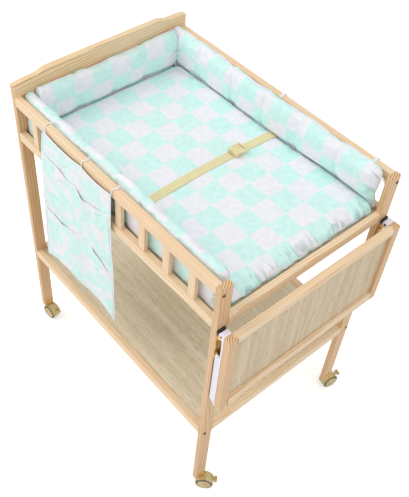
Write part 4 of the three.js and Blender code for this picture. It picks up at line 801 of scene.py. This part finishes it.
def bumper(name, start, along, inward, length, puffs, first_square, rounded, crowded=False, fuller=0.0):
    """A pad that runs from start. Inward points from its rail over the mattress, puffs are the lengths between
    its quilted lines, and rounded is how far each end is drawn in. The mattress pushes the foot of a crowded
    one back, and a fuller one stands taller by that much."""
    ring, spacing = smooth_ring(section_shares, SECTION_POINTS, fuller)
    heart = Vector((BUMPER_FOOT * 0.8, BUMPER_TALL / 2))
    mid = min(range(SECTION_POINTS), key=lambda k: abs(ring[k].y - MID_LINE) - (ring[k].x > BUMPER_FOOT))
    stations = round(length / BUMPER_PITCH)
    points, faces, corners, seams = [], [], [], {}
    for station in range(stations + 1):
        run = length * station / stations
        end = min(run, length - run)
        closed = rounded[run > length / 2]
        closing = 1 - closed * (1 - math.sqrt(max(0, 1 - (1 - min(1, end / DRAWN_IN)) ** 2)))
        channel = abs(math.sin(math.pi * puffs * run / length)) if 0.02 < end else 1
        for k, corner in enumerate(ring):
            arm = corner - heart
            angle = math.atan2(arm.y, arm.x)
            folds = math.sin(11 * angle + 2 * math.sin(3 * angle))
            gather = 0.07 * folds * max(0, 1 - end / GATHERED) * closed
            narrow = (0.3 + 0.7 * closing) * (1 + gather)
            across = heart.x + arm.x * narrow
            tall = heart.y + arm.y * (0.84 + 0.16 * closing) * (1 + gather / 3)
            if channel < 0.12 and k != mid:
                across, tall = across + (heart.x - across) * 0.1, tall - (tall > heart.y) * 0.0018
            if channel < 0.12 or 0.24 < channel < 0.27:
                seams[len(points)] = 0.55
            points.append(start + along * (run + 0.0008 * math.sin(9 * angle)) + inward * across
                          + Vector((0, 0, tall)))
    for station in range(stations):
        for k in range(SECTION_POINTS):
            n = (k + 1) % SECTION_POINTS
            a, b = station * SECTION_POINTS, (station + 1) * SECTION_POINTS
            faces.append([a + k, a + n, b + n, b + k])
            back = SQUARE * (k > mid and max(ring[k].x, ring[n].x) < 0.2 * BUMPER_FOOT)
            low, high = (k - mid) * spacing + back, (k + 1 - mid) * spacing + back
            near, far = (length * s / stations for s in (station, station + 1))
            corners += [(near, low), (near, high), (far, high), (far, low)]
    for first, flip in ((0, True), (stations * SECTION_POINTS, False)):
        hub = len(points)
        points.append(sum((points[first + k] for k in range(SECTION_POINTS)), Vector()) / SECTION_POINTS)
        for k in range(SECTION_POINTS):
            n = (k + 1) % SECTION_POINTS
            rim = [first + n, first + k] if flip else [first + k, first + n]
            faces.append([*rim, hub])
            corners += [(0, (k - mid) * spacing), (0, (k + 1 - mid) * spacing), (0.02, (k - mid) * spacing)]
    pad = sewn_cover(name + "_cover", points, faces, corners, seams, room=0.0042)
    for vertex in pad.data.vertices:
        local = vertex.co - start
        over, run = local.dot(inward), local.dot(along)
        wrinkle = noise.noise(Vector((run * 30, over * 44, local.z * 15)))
        crease = abs(noise.noise(Vector((run * 17, local.z * 24, 6.5 + over * 9))))
        vertex.co += vertex.normal * (0.0013 * wrinkle - 0.0016 * max(0, 1 - 5 * crease))
        end = min(run, length - run)
        if rounded[run > length / 2] < 1 and local.z > BUMPER_TALL * 0.8:
            vertex.co.z += 0.005 * max(0, 1 - end / 0.02) ** 2
        if crowded:
            push = crowding(vertex.co.x) * min(1, over / BUMPER_FOOT) * eased_step(2 - local.z / 0.03)
            vertex.co -= inward * push
        low = start.dot(inward) + 0.0004
        vertex.co += inward * max(0, low - vertex.co.dot(inward))
        vertex.co.z = max(vertex.co.z, start.z + 0.0003)
    pad.data.materials.append(printed_cotton("printed cotton, " + name, first_square, 0, pleated_end=length))
    soften(pad)
    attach(pad, "frame")
    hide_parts(name)
    return pad


rear_low, rear_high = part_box("bumper_rear")
front_low, front_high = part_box("bumper_front")
head_low, head_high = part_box("bumper_left")
rear_bumper = bumper("bumper_rear", Vector((rear_low.x + 0.003, rear_high.y, rear_low.z)), Vector((1, 0, 0)),
                     Vector((0, -1, 0)), rear_high.x - rear_low.x - 0.006, 6,
                     0.022 - SQUARE + middle.x - rear_low.x, rounded=(0.3, 1), crowded=True, fuller=0.008)
bumper("bumper_front", Vector((front_low.x + 0.003, front_low.y, front_low.z)), Vector((1, 0, 0)),
       Vector((0, 1, 0)), front_high.x - front_low.x - 0.006, 6, 0.013, rounded=(0.3, 1))
bumper("bumper_left", Vector((head_low.x, head_low.y + 0.001, head_low.z)), Vector((0, 1, 0)),
       Vector((1, 0, 0)), head_high.y - head_low.y - 0.002, 4, -0.004 + middle.y - head_low.y,
       rounded=(0.12, 0.12), fuller=0.008)

# The safety strap: two lengths of cream webbing laid over the mattress, joined by a side-release buckle of
# the same colour. The webbing is woven in ribs that run along it, and each end is folded round its bar on
# the buckle and sewn down.

RIB = 0.0021      # width of one rib of the webbing
STRAP_WIDE, STRAP_THICK = 0.025, 0.0016
STRAP_PLACE, STRAP_BOW = 0.040, 0.005     # where it crosses, from the posts' middle, and how far it bows

webbing, tree, surface = new_material("cream cotton webbing")
# Ribs along the strap, and the weft threads that cross them; the grooves between them are painted darker, as
# painted shade, and the colour fades at random
coordinates = add_node(tree, "ShaderNodeTexCoord", out="Object")
ribs = add_node(tree, "ShaderNodeMapping", None,
                {"Vector": coordinates, "Scale": (math.tau / RIB, math.tau / (RIB / 2), 0)})
lines = add_node(tree, "ShaderNodeSeparateXYZ", None, {0: ribs}).node.outputs
rib = add_node(tree, "ShaderNodeMath", {"operation": "SINE"}, {0: lines[0]})
weft = add_node(tree, "ShaderNodeMath", {"operation": "SINE"}, {0: lines[1]})
woven = add_node(tree, "ShaderNodeMath", {"operation": "MULTIPLY_ADD"}, {0: weft, 1: 0.4, 2: rib})
# Painted shade: the colour follows the height of the ribs, darker in the grooves
shade = add_node(tree, "ShaderNodeMapRange", None, {"Value": woven, "From Min": -1.4, "From Max": 1.4})
fading = add_node(tree, "ShaderNodeTexNoise", None, {"Vector": coordinates, "Scale": 40.0, "Detail": 3.0})
shade = add_node(tree, "ShaderNodeMath", {"operation": "MULTIPLY_ADD"}, {0: fading, 1: 0.7, 2: shade})
cream = add_node(tree, "ShaderNodeValToRGB", {"stops": [
    (0.2, "D3C283"), (0.6, "E6D89F"), (1.0, "F0E6B8")]}, {0: shade})
lay_surface(surface, cream, woven, 0.5, 0.0003, {"Roughness": 0.8, "Sheen Weight": 0.15})

bpy.context.view_layer.update()
laid_on = BVHTree.FromObject(mattress, bpy.context.evaluated_depsgraph_get())
# In shares of its width and its thickness
strap_section = [(-0.5, 0.5), (-0.485, 0.12), (-0.44, 0), (-0.2, 0), (0.2, 0), (0.44, 0), (0.485, 0.12),
                 (0.5, 0.5), (0.485, 0.88), (0.44, 1), (0.2, 1), (-0.2, 1), (-0.44, 1), (-0.485, 0.88)]


def cover_height(x, y):
    """The height of the mattress's cover at a place, or None beside it."""
    hit = laid_on.ray_cast(Vector((x, y, 1.2)), Vector((0, 0, -1)))[0]
    return hit.z if hit else None


def strap(name, start, end):
    """Webbing on the mattress between two places across it."""
    steps = round((end - start) / 0.004)
    swing = (slab_high.y - slab_low.y) / 2
    path = []
    for k in range(steps + 1):
        y = start + (end - start) * k / steps
        x = middle.x + STRAP_PLACE - STRAP_BOW * math.cos(math.pi / 2 * (y - slab_middle.y) / swing)
        found = [cover_height(x + u * STRAP_WIDE, y) for u in (-0.5, -0.25, 0, 0.25, 0.5)]
        path.append((x, y, max(z for z in found if z is not None)))
    rings = []
    for k, (x, y, top) in enumerate(path):
        near = path[max(0, k - 2):k + 3]
        bed = max(sum(p[2] for p in near) / len(near), top) + 0.0003
        rings.append([Vector((x + u * STRAP_WIDE, y, bed + v * STRAP_THICK)) for u, v in strap_section])
    mesh = solid(name + "_webbing", rings)
    mesh.shade_smooth()
    mesh.materials.append(webbing)
    piece = shown(name + "_webbing", mesh)
    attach(piece, "frame")
    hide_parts(name)


for name in ("strap_front", "strap_rear"):
    low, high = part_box(name)
    strap(name, low.y, high.y)

# Moulded acetal: straw-cream with a slight shine, paler in places
buckle_plastic = hard_surface("cream moulded acetal", ["D9C78C", "E6D8A6", "EFE5BE"], 0.6, (0.28, 0.42), 0.15,
                              coat=0.2)
eased("buckle_socket", 0.0011, buckle_plastic)
eased("buckle_plug", 0.0011, buckle_plastic)

# The hanging organizer: a panel of the same printed cotton that widens towards its foot, with a wide pocket
# above and two below. Its edges and the pocket mouths are bound in white tape. It hangs in soft folds.

panel_low, panel_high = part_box("organizer")
PANEL_TOP, PANEL_FOOT = panel_high.z + 0.0015, panel_low.z
PANEL_RIGHT, TOP_WIDE, FOOT_WIDE = panel_high.x, 0.272, panel_high.x - panel_low.x
HANG = panel_high.y - 0.0004     # the plane that the cloth may not pass towards the rails
# How far the hem stands above the foot corners, which droop, at shares of the way from left to right
HEM_LIFT = [(0, 0.004), (0.07, 0.013), (0.2, 0.024), (0.35, 0.033), (0.47, 0.031), (0.58, 0.026),
            (0.71, 0.029), (0.84, 0.027), (0.95, 0.019), (1, 0.008)]
LOOP_SHARES = (0.02, 0.57, 0.99)     # where the loops hold its top, at shares of the same way


def through(marks, u):
    """The value at u of a wavy line drawn through (u, value) marks."""
    for (a, first), (b, second) in zip(marks, marks[1:]):
        if u <= b:
            return first + (second - first) * eased_step((u - a) / (b - a))
    return marks[-1][1]


def fold(x, z):
    """How far the hanging cloth stands out from its flat back, in metres."""
    down = (PANEL_TOP - z) / (PANEL_TOP - PANEL_FOOT)
    broad = noise.noise(Vector((x * 13, 0.6, z * 3.2))) + 0.5
    crease = 1 - abs(noise.noise(Vector((x * 21 + z * 9, 4.1, z * 12)))) * 3.2
    return 0.0006 + 0.0052 * min(1, 2.5 * down) * broad + 0.0016 * max(0, crease) * min(1, 4 * down)


def panel_spot(u, v, proud=0.0):
    """A place on the organizer: u from its left edge to its right, v from its top to its foot."""
    wide = TOP_WIDE + (FOOT_WIDE - TOP_WIDE) * math.sqrt(v)
    x = PANEL_RIGHT - (1 - u) * wide
    from_loop = min(abs(u - share) for share in LOOP_SHARES)
    sag = 0.0065 * math.sin(min(1, from_loop / 0.2) * math.pi / 2) * (1 - v) ** 6
    z = PANEL_TOP + (PANEL_FOOT - PANEL_TOP) * v - sag + through(HEM_LIFT, u) * v ** 5
    return Vector((x, min(HANG, HANG - fold(x, z) - proud), z))


def cloth_panel(name, mouth, foot, slack=None):
    """A sewn panel from its mouth line down to its foot; slack is how far the mouth stands out along it."""
    left, right = mouth[0][0], mouth[-1][0]
    columns, rows = max(8, round(60 * (right - left))), max(8, round(95 * (foot - mouth[0][1])))
    wide = columns + 1
    points, corners = [], []
    for j in range(rows + 1):
        for i in range(wide):
            s, t = i / columns, j / rows
            u = left + (right - left) * s
            v = through(mouth, u) + (foot - through(mouth, u)) * t
            gathers = 1 + 0.25 * math.sin(s * 43 + 2 * math.sin(5 * s)) * (1 - t)
            proud = 0.0009 + through(slack, u) * (1 - t ** 1.5) * gathers if slack else 0
            points.append(panel_spot(u, v, proud))
            corners.append((u * FOOT_WIDE, v * (PANEL_TOP - PANEL_FOOT)))
    faces = [[k, k + 1, k + wide + 1, k + wide]
             for j in range(rows) for k in range(j * wide, j * wide + columns)]
    mesh = bpy.data.meshes.new(name)
    mesh.from_pydata(points, [], faces)
    cloth = mesh.uv_layers.new(name="cloth")
    for loop, place in zip(mesh.loops, cloth.data):
        place.uv = corners[loop.vertex_index]
    mesh.shade_smooth()
    mesh.materials.append(print_organizer)
    piece = shown(name, mesh)
    doubling = piece.modifiers.new("cloth thickness", "SOLIDIFY")
    doubling.thickness, doubling.offset = 0.0008, 0
    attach(piece, "frame")
    return piece


print_organizer = printed_cotton("printed cotton, organizer", 0.013, 0.02, sway=0.13, creased=0.6,
                                 mint_share=0.8)
back_panel = cloth_panel("organizer_back", [(0, 0), (1, 0)], 1)
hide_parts("organizer")
upper_pocket = cloth_panel(
    "organizer_upper_pocket",
    [(0.01, 0.15), (0.10, 0.146), (0.285, 0.151), (0.387, 0.181), (0.5, 0.165), (0.63, 0.207), (0.836, 0.175),
     (0.985, 0.15)], 0.52,
    [(0.01, 0), (0.08, 0.0016), (0.3, 0.0026), (0.42, 0.0012), (0.62, 0.003), (0.8, 0.0022), (0.985, 0)])
# One wide panel makes the two lower pockets: it is sewn down between them
DIVIDER = 0.54     # the seam's place across the organizer
lower_pockets = cloth_panel(
    "organizer_lower_pockets",
    [(0.02, 0.575), (0.25, 0.572), (0.5, 0.548), (0.6, 0.53), (0.7, 0.515), (0.8, 0.545), (0.925, 0.592),
     (0.985, 0.597)], 0.985,
    [(0.02, 0), (0.07, 0.002), (0.3, 0.0034), (0.48, 0.001), (0.54, 0), (0.68, 0), (0.74, 0.0022),
     (0.86, 0.0026), (0.985, 0)])

# Binding tape: thin white cotton, wrapped round each edge and sewn through
tape, tree, surface = new_material("white cotton binding tape")
coordinates = add_node(tree, "ShaderNodeTexCoord", out="Object")
weave = add_node(tree, "ShaderNodeTexNoise", None, {"Vector": coordinates, "Scale": 900.0, "Detail": 2.0})
tint = add_node(tree, "ShaderNodeValToRGB", {"stops": [(0.3, "E8EAEE"), (0.7, "FAF9FB")]},
                {0: weave})
lay_surface(surface, tint, weave, 0.35, 0.0003, {"Roughness": 0.85, "Sheen Weight": 0.2})


def swept(name, path, across, outward, section, material, looped=False):
    """A section of (across, outward) places carried along a path, which may be looped round to its start."""
    mesh = solid(name, [[point + side * a + out * b for a, b in section]
                        for point, side, out in zip(path, across, outward)], looped)
    mesh.shade_smooth()
    mesh.materials.append(material)
    piece = shown(name, mesh)
    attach(piece, "frame")
    return piece


def grid_of(panel):
    """A panel's points, row by row from its mouth down, and how many there are in a row."""
    return [v.co.copy() for v in panel.data.vertices], panel.data.polygons[0].vertices[3]


def edge_of(panel, side):
    """The points of one edge of a panel, and the directions across it into the cloth."""
    grid, wide = grid_of(panel)
    edge, inner = {"top": (grid[:wide], grid[wide:2 * wide]), "foot": (grid[-wide:], grid[-2 * wide:-wide]),
                   "left": (grid[::wide], grid[1::wide]),
                   "right": (grid[wide - 1::wide], grid[wide - 2::wide])}[side]
    return edge, [(b - a).normalized() for a, b in zip(edge, inner)]


tape_section = [(0.0048, 0.0009), (0.0026, 0.0012), (0.0004, 0.0011), (-0.0007, 0), (0.0004, -0.0011),
                (0.0026, -0.0012), (0.0048, -0.0009)]
sewn_edges = []
# Each panel's bound sides, the share of the organizer's height that it hangs down, and what it hangs on
for panel, sides, down, rests_on in (
        (back_panel, ("left", "right", "top", "foot"), 0.96, "organizer_loop_1_cord"),
        (upper_pocket, ("top",), 0.35, "organizer_back"), (lower_pockets, ("top",), 0.375, "organizer_back")):
    for side in sides:
        edge, inwards = edge_of(panel, side)
        outward = [Vector((0, -1, 0))] * len(edge)
        name = panel.name + "_" + side + "_binding"
        swept(name, edge, inwards, outward, tape_section, tape)
        sewn_edges.append((edge, inwards))
grid, wide = grid_of(lower_pockets)
divider = grid[round(DIVIDER * (wide - 1))::wide]
sewn_edges.append((divider, [Vector((0.2, 0, 0))] * len(divider)))

# The loops: three lengths of white twisted cotton cord, tied through the organizer's top binding and round
# the front top rail. They pull a little askew under the organizer's weight.

CORD_R, LOOP_STEPS = 0.0019, 72

cord, tree, surface = new_material("white twisted cotton cord")
coordinates = add_node(tree, "ShaderNodeTexCoord", out="Object")
turned_strand = add_node(tree, "ShaderNodeMapping", None,
                         {"Vector": coordinates, "Rotation": (0.6, 0.5, 0.3)})
strands = add_node(tree, "ShaderNodeTexWave", {"wave_type": "BANDS"},
                   {"Vector": turned_strand, "Scale": 210.0, "Distortion": 0.6})
# Painted shade: the colour follows the strands' relief, darker in the grooves of the twist
tint = add_node(tree, "ShaderNodeValToRGB", {"stops": [(0.0, "E4E4E2"), (0.6, "F8F8F6")]},
                {0: strands})
lay_surface(surface, tint, strands, 0.6, 0.0004, {"Roughness": 0.85})

for number, lean in ((1, -0.0042), (2, 0.007), (3, 0.0091)):
    low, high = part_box("organizer_loop_" + str(number))
    heart = (low + high) / 2
    half_y, half_z = (high.y - low.y) / 2 - CORD_R, (high.z - low.z) / 2 - CORD_R
    path, across, outward = [], [], []
    for c, s in circle(0, 0, 1, LOOP_STEPS):
        squareness = (abs(c) ** 7 + abs(s) ** 7) ** (-1 / 7)
        path.append(heart + Vector((lean * s * abs(s), half_y * c * squareness, half_z * s * squareness)))
    for k in range(LOOP_STEPS):
        forward = (path[(k + 1) % LOOP_STEPS] - path[k - 1]).normalized()
        outward.append(Vector((1, 0, 0)).cross(forward).normalized())
        across.append(forward.cross(outward[k]))
    loop = swept("organizer_loop_" + str(number) + "_cord", path, across, outward, circle(0, 0, CORD_R, 12),
                 cord, looped=True)
    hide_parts("organizer_loop_" + str(number))

# The ties: short white tapes sewn to the backs of the bumpers. Two are wrapped round the rear top rail; the
# third hangs free from the rear bumper's end beside the post.

TIE_PLACES = (18, 321)     # along the rear rail, in millimetres from the posts' middle
TIE_END_STEPS = 11
tie_section = [(-0.004, -0.0004), (0.004, -0.0004), (0.0042, 0), (0.004, 0.0004), (-0.004, 0.0004),
               (-0.0042, 0)]


def spot(x, y, z):
    """A place measured in millimetres from the middle of the four posts and up from the floor."""
    return Vector((x, y, z)) / 1000 + middle


rear_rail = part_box("rear_top_rail")
outer, top = rear_rail[1].y + 0.0009, rear_rail[1].z + 0.0007
inner, foot = rear_rail[0].y - 0.0009, rear_rail[0].z - 0.0008
for number, place in enumerate(TIE_PLACES):
    x = spot(place, 0, 0).x
    path = []
    for y0, z0, y1, z1, steps in ((inner, foot, inner, top, 8), (inner, top, outer, top, 6),
                                  (outer, top, outer, foot, 8), (outer, foot, inner, foot, 6)):
        path += [Vector((x + 0.0008 * math.sin(k + number), y0 + (y1 - y0) * k / steps,
                         z0 + (z1 - z0) * k / steps)) for k in range(steps)]
    centre = sum(path, Vector()) / len(path)
    outward = [Vector((0, p.y - centre.y, p.z - centre.z)).normalized() for p in path]
    swept("bumper_tie_" + str(number + 1), path, [Vector((1, 0, 0))] * len(path), outward, tie_section,
          tape, looped=True)
end = max(v.co.x for v in rear_bumper.data.vertices)
side_y = (rear_low.y + rear_high.y) / 2
path = [Vector((end - 0.009 + 0.02 * t, side_y - 0.004 + 0.01 * t, rear_high.z - 0.008 - 0.026 * t ** 2))
        for t in (k / TIE_END_STEPS for k in range(TIE_END_STEPS + 1))]
swept("bumper_tie_3", path, [Vector((0, 1, 0))] * len(path), [Vector((0.8, 0, 0.6))] * len(path),
      [(0.6 * across, 2 * outward) for across, outward in tie_section], tape)

# Fastenings: bolts through the posts, screws in the brackets, rivets on the bracket pins, and
# the stitches of the organizer's bindings. Each kind is modelled once and set on its places.

SEED = 11                             # fixes how the heads are turned
HEXAGON_R, CROSS_R = 0.0022, 0.0026   # a recess lies within this radius


def head(name, rings, recess=None, sides=24):
    """A round head that faces +Z, from (radius, height) rings, with an optional cross or hexagon recess."""
    levels = []
    for radius, height in rings:
        ring = circle(0, 0, radius, sides)
        if recess == "hexagon" and radius < HEXAGON_R:
            ring = [ring[k // 4 * 4] for k in range(sides)]
        if recess == "cross" and radius < CROSS_R:
            ring = [(x, y) if k % 6 in (0, 1, 5) else (0.35 * x, 0.35 * y) for k, (x, y) in enumerate(ring)]
        levels.append([Vector((x, y, height)) for x, y in ring])
    mesh = solid(name, levels, open_foot=True)
    mesh.shade_smooth()
    mesh.set_sharp_from_angle(angle=math.radians(40))
    return mesh


def setter(name):
    """Geometry nodes that set one modelled head on every point, facing the point's own direction."""
    group = bpy.data.node_groups.new(name, "GeometryNodeTree")
    for socket_name, kind, way in (("Places", "Geometry", "INPUT"), ("Head", "Object", "INPUT"),
                                   ("Size", "Float", "INPUT"), ("Turned", "Float", "INPUT"),
                                   ("Finish", "Material", "INPUT"), ("Set heads", "Geometry", "OUTPUT")):
        group.interface.new_socket(socket_name, in_out=way, socket_type="NodeSocket" + kind)
    given = group.nodes.new("NodeGroupInput").outputs
    facing = add_node(group, "GeometryNodeInputNamedAttribute", {"data_type": "FLOAT_VECTOR"},
                      {"Name": "facing"})
    aligned = add_node(group, "FunctionNodeAlignRotationToVector", {"axis": "Z"}, {"Vector": facing})
    twist = add_node(group, "FunctionNodeRandomValue", {"data_type": "FLOAT"},
                     {"Min": 0.0, "Max": given["Turned"], "Seed": SEED}, out=1)
    around = add_node(group, "FunctionNodeAxisAngleToRotation", None, {"Axis": (0, 0, 1), "Angle": twist})
    turned = add_node(group, "FunctionNodeRotateRotation", {"rotation_space": "LOCAL"},
                      {"Rotation": aligned, "Rotate By": around})
    shape = add_node(group, "GeometryNodeObjectInfo", None, {"Object": given["Head"]}, out="Geometry")
    set_on = add_node(group, "GeometryNodeInstanceOnPoints", None, {
        "Points": given["Places"], "Instance": shape, "Rotation": turned, "Scale": given["Size"]})
    real = add_node(group, "GeometryNodeRealizeInstances", None, {"Geometry": set_on})
    coated = add_node(group, "GeometryNodeSetMaterial", None, {"Geometry": real, "Material": given["Finish"]})
    group.links.new(coated, group.nodes.new("NodeGroupOutput").inputs[0])
    return group


def set_heads(name, head_mesh, places, body, material, size=1.0, turned=math.tau):
    """Heads on their places, each a point and the direction that it faces, as one plain mesh on one body."""
    pattern = shown(name + "_pattern", head_mesh)
    points = bpy.data.meshes.new(name + "_places")
    points.from_pydata([place for place, _ in places], [], [])
    facing = points.attributes.new("facing", "FLOAT_VECTOR", "POINT")
    facing.data.foreach_set("vector", [share for _, direction in places for share in direction])
    bed = shown(name + "_bed", points)
    group = setter("set " + name.replace("_", " "))
    setting = bed.modifiers.new("setting", "NODES")
    setting.node_group = group
    given = {"Head": pattern, "Size": size, "Turned": turned, "Finish": material}
    for item in group.interface.items_tree:
        if item.in_out == "INPUT" and item.name in given:
            setting[item.identifier] = given[item.name]
    bpy.context.view_layer.update()
    mesh = bpy.data.meshes.new_from_object(bed.evaluated_get(bpy.context.evaluated_depsgraph_get()))
    bed.modifiers.remove(setting)
    bpy.data.objects.remove(bed)
    bpy.data.objects.remove(pattern)
    piece = shown(name, mesh)
    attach(piece, body)


bolt_head = head("bolt_head", [(0.0046, 0), (0.0046, 0.0006), (0.0042, 0.0013), (0.0032, 0.0019),
                               (0.0021, 0.0021), (0.0021, 0.0008), (0.0001, 0.0007)], "hexagon")
screw_head = head("screw_head", [(0.0036, 0), (0.0035, 0.0004), (0.003, 0.0009), (0.0025, 0.0011),
                                 (0.0022, 0.0004), (0.0001, 0.0002)], "cross")
rivet_head = head("rivet_head", [(0.0027, 0), (0.0026, 0.0005), (0.002, 0.0010), (0.0011, 0.0013),
                                 (0.0001, 0.0014)])
out_x, out_front, out_rear = Vector((1, 0, 0)), Vector((0, -1, 0)), Vector((0, 1, 0))

# Brown passivation, darker and more uneven than the strips' yellow; on the hinge rivets it is also painted
# bore shade
dark_zinc_and_bore_shade = hard_surface("brown-passivated steel", ["5A4326", "7B5C33", "9A7A4A"], 0.5, (0.35, 0.5), 0.2,
                         metallic=1.0)
bolts = [(spot(390, side * 267, z), out_x) for side in (-1, 1) for z in (880, 311)]
bolts += [(spot(-390, side * 267, z), -out_x) for side in (-1, 1) for z in (884, 776, 311)]
set_heads("post_bolts", bolt_head, bolts, "frame", dark_zinc_and_bore_shade)
for side, y in (("front", -263), ("rear", 263)):
    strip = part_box(side + "_bracket_fixed_arm")
    set_heads(side + "_strip_screws", screw_head, [(spot(392, y, z), out_x) for z in (733, 717, 698)],
              "frame", yellow_zinc, size=0.9)
    # Painted shade: the rivet heads are dark where the knuckle's open bore shows dark
    pins = [(Vector((spot(404, 0, 0).x, strip[k].y, spot(0, 0, 759).z)), direction)
            for k, direction in ((0, out_front), (1, out_rear))]
    set_heads(side + "_hinge_rivets", rivet_head, pins, "frame", dark_zinc_and_bore_shade, size=1.15)

# Sewing thread: dull white, in stitches that lie just inside each bound edge
STITCH_PITCH, SEAM_IN, SEAM_PROUD = 0.0042, 0.0036, 0.0012
stitch = head("stitch", [(0.0002, -0.0012), (0.0004, -0.0008), (0.00045, 0), (0.0004, 0.0008),
                         (0.0002, 0.0012)], sides=8)
thread = hard_surface("white sewing thread", ["D5DEE0", "F2F4F4"], 0.3, (0.75, 0.9), 0.3)
sewn = []
for edge, inwards in sewn_edges:
    for near, far, inward in zip(edge, edge[1:], inwards):
        run = far - near
        count = max(1, round(run.length / STITCH_PITCH))
        for k in range(count):
            place = near + run * ((k + 0.5) / count) + inward * SEAM_IN - Vector((0, SEAM_PROUD, 0))
            sewn.append((place, run.normalized()))
set_heads("organizer_stitches", stitch, sewn, "frame", thread, turned=0.0)
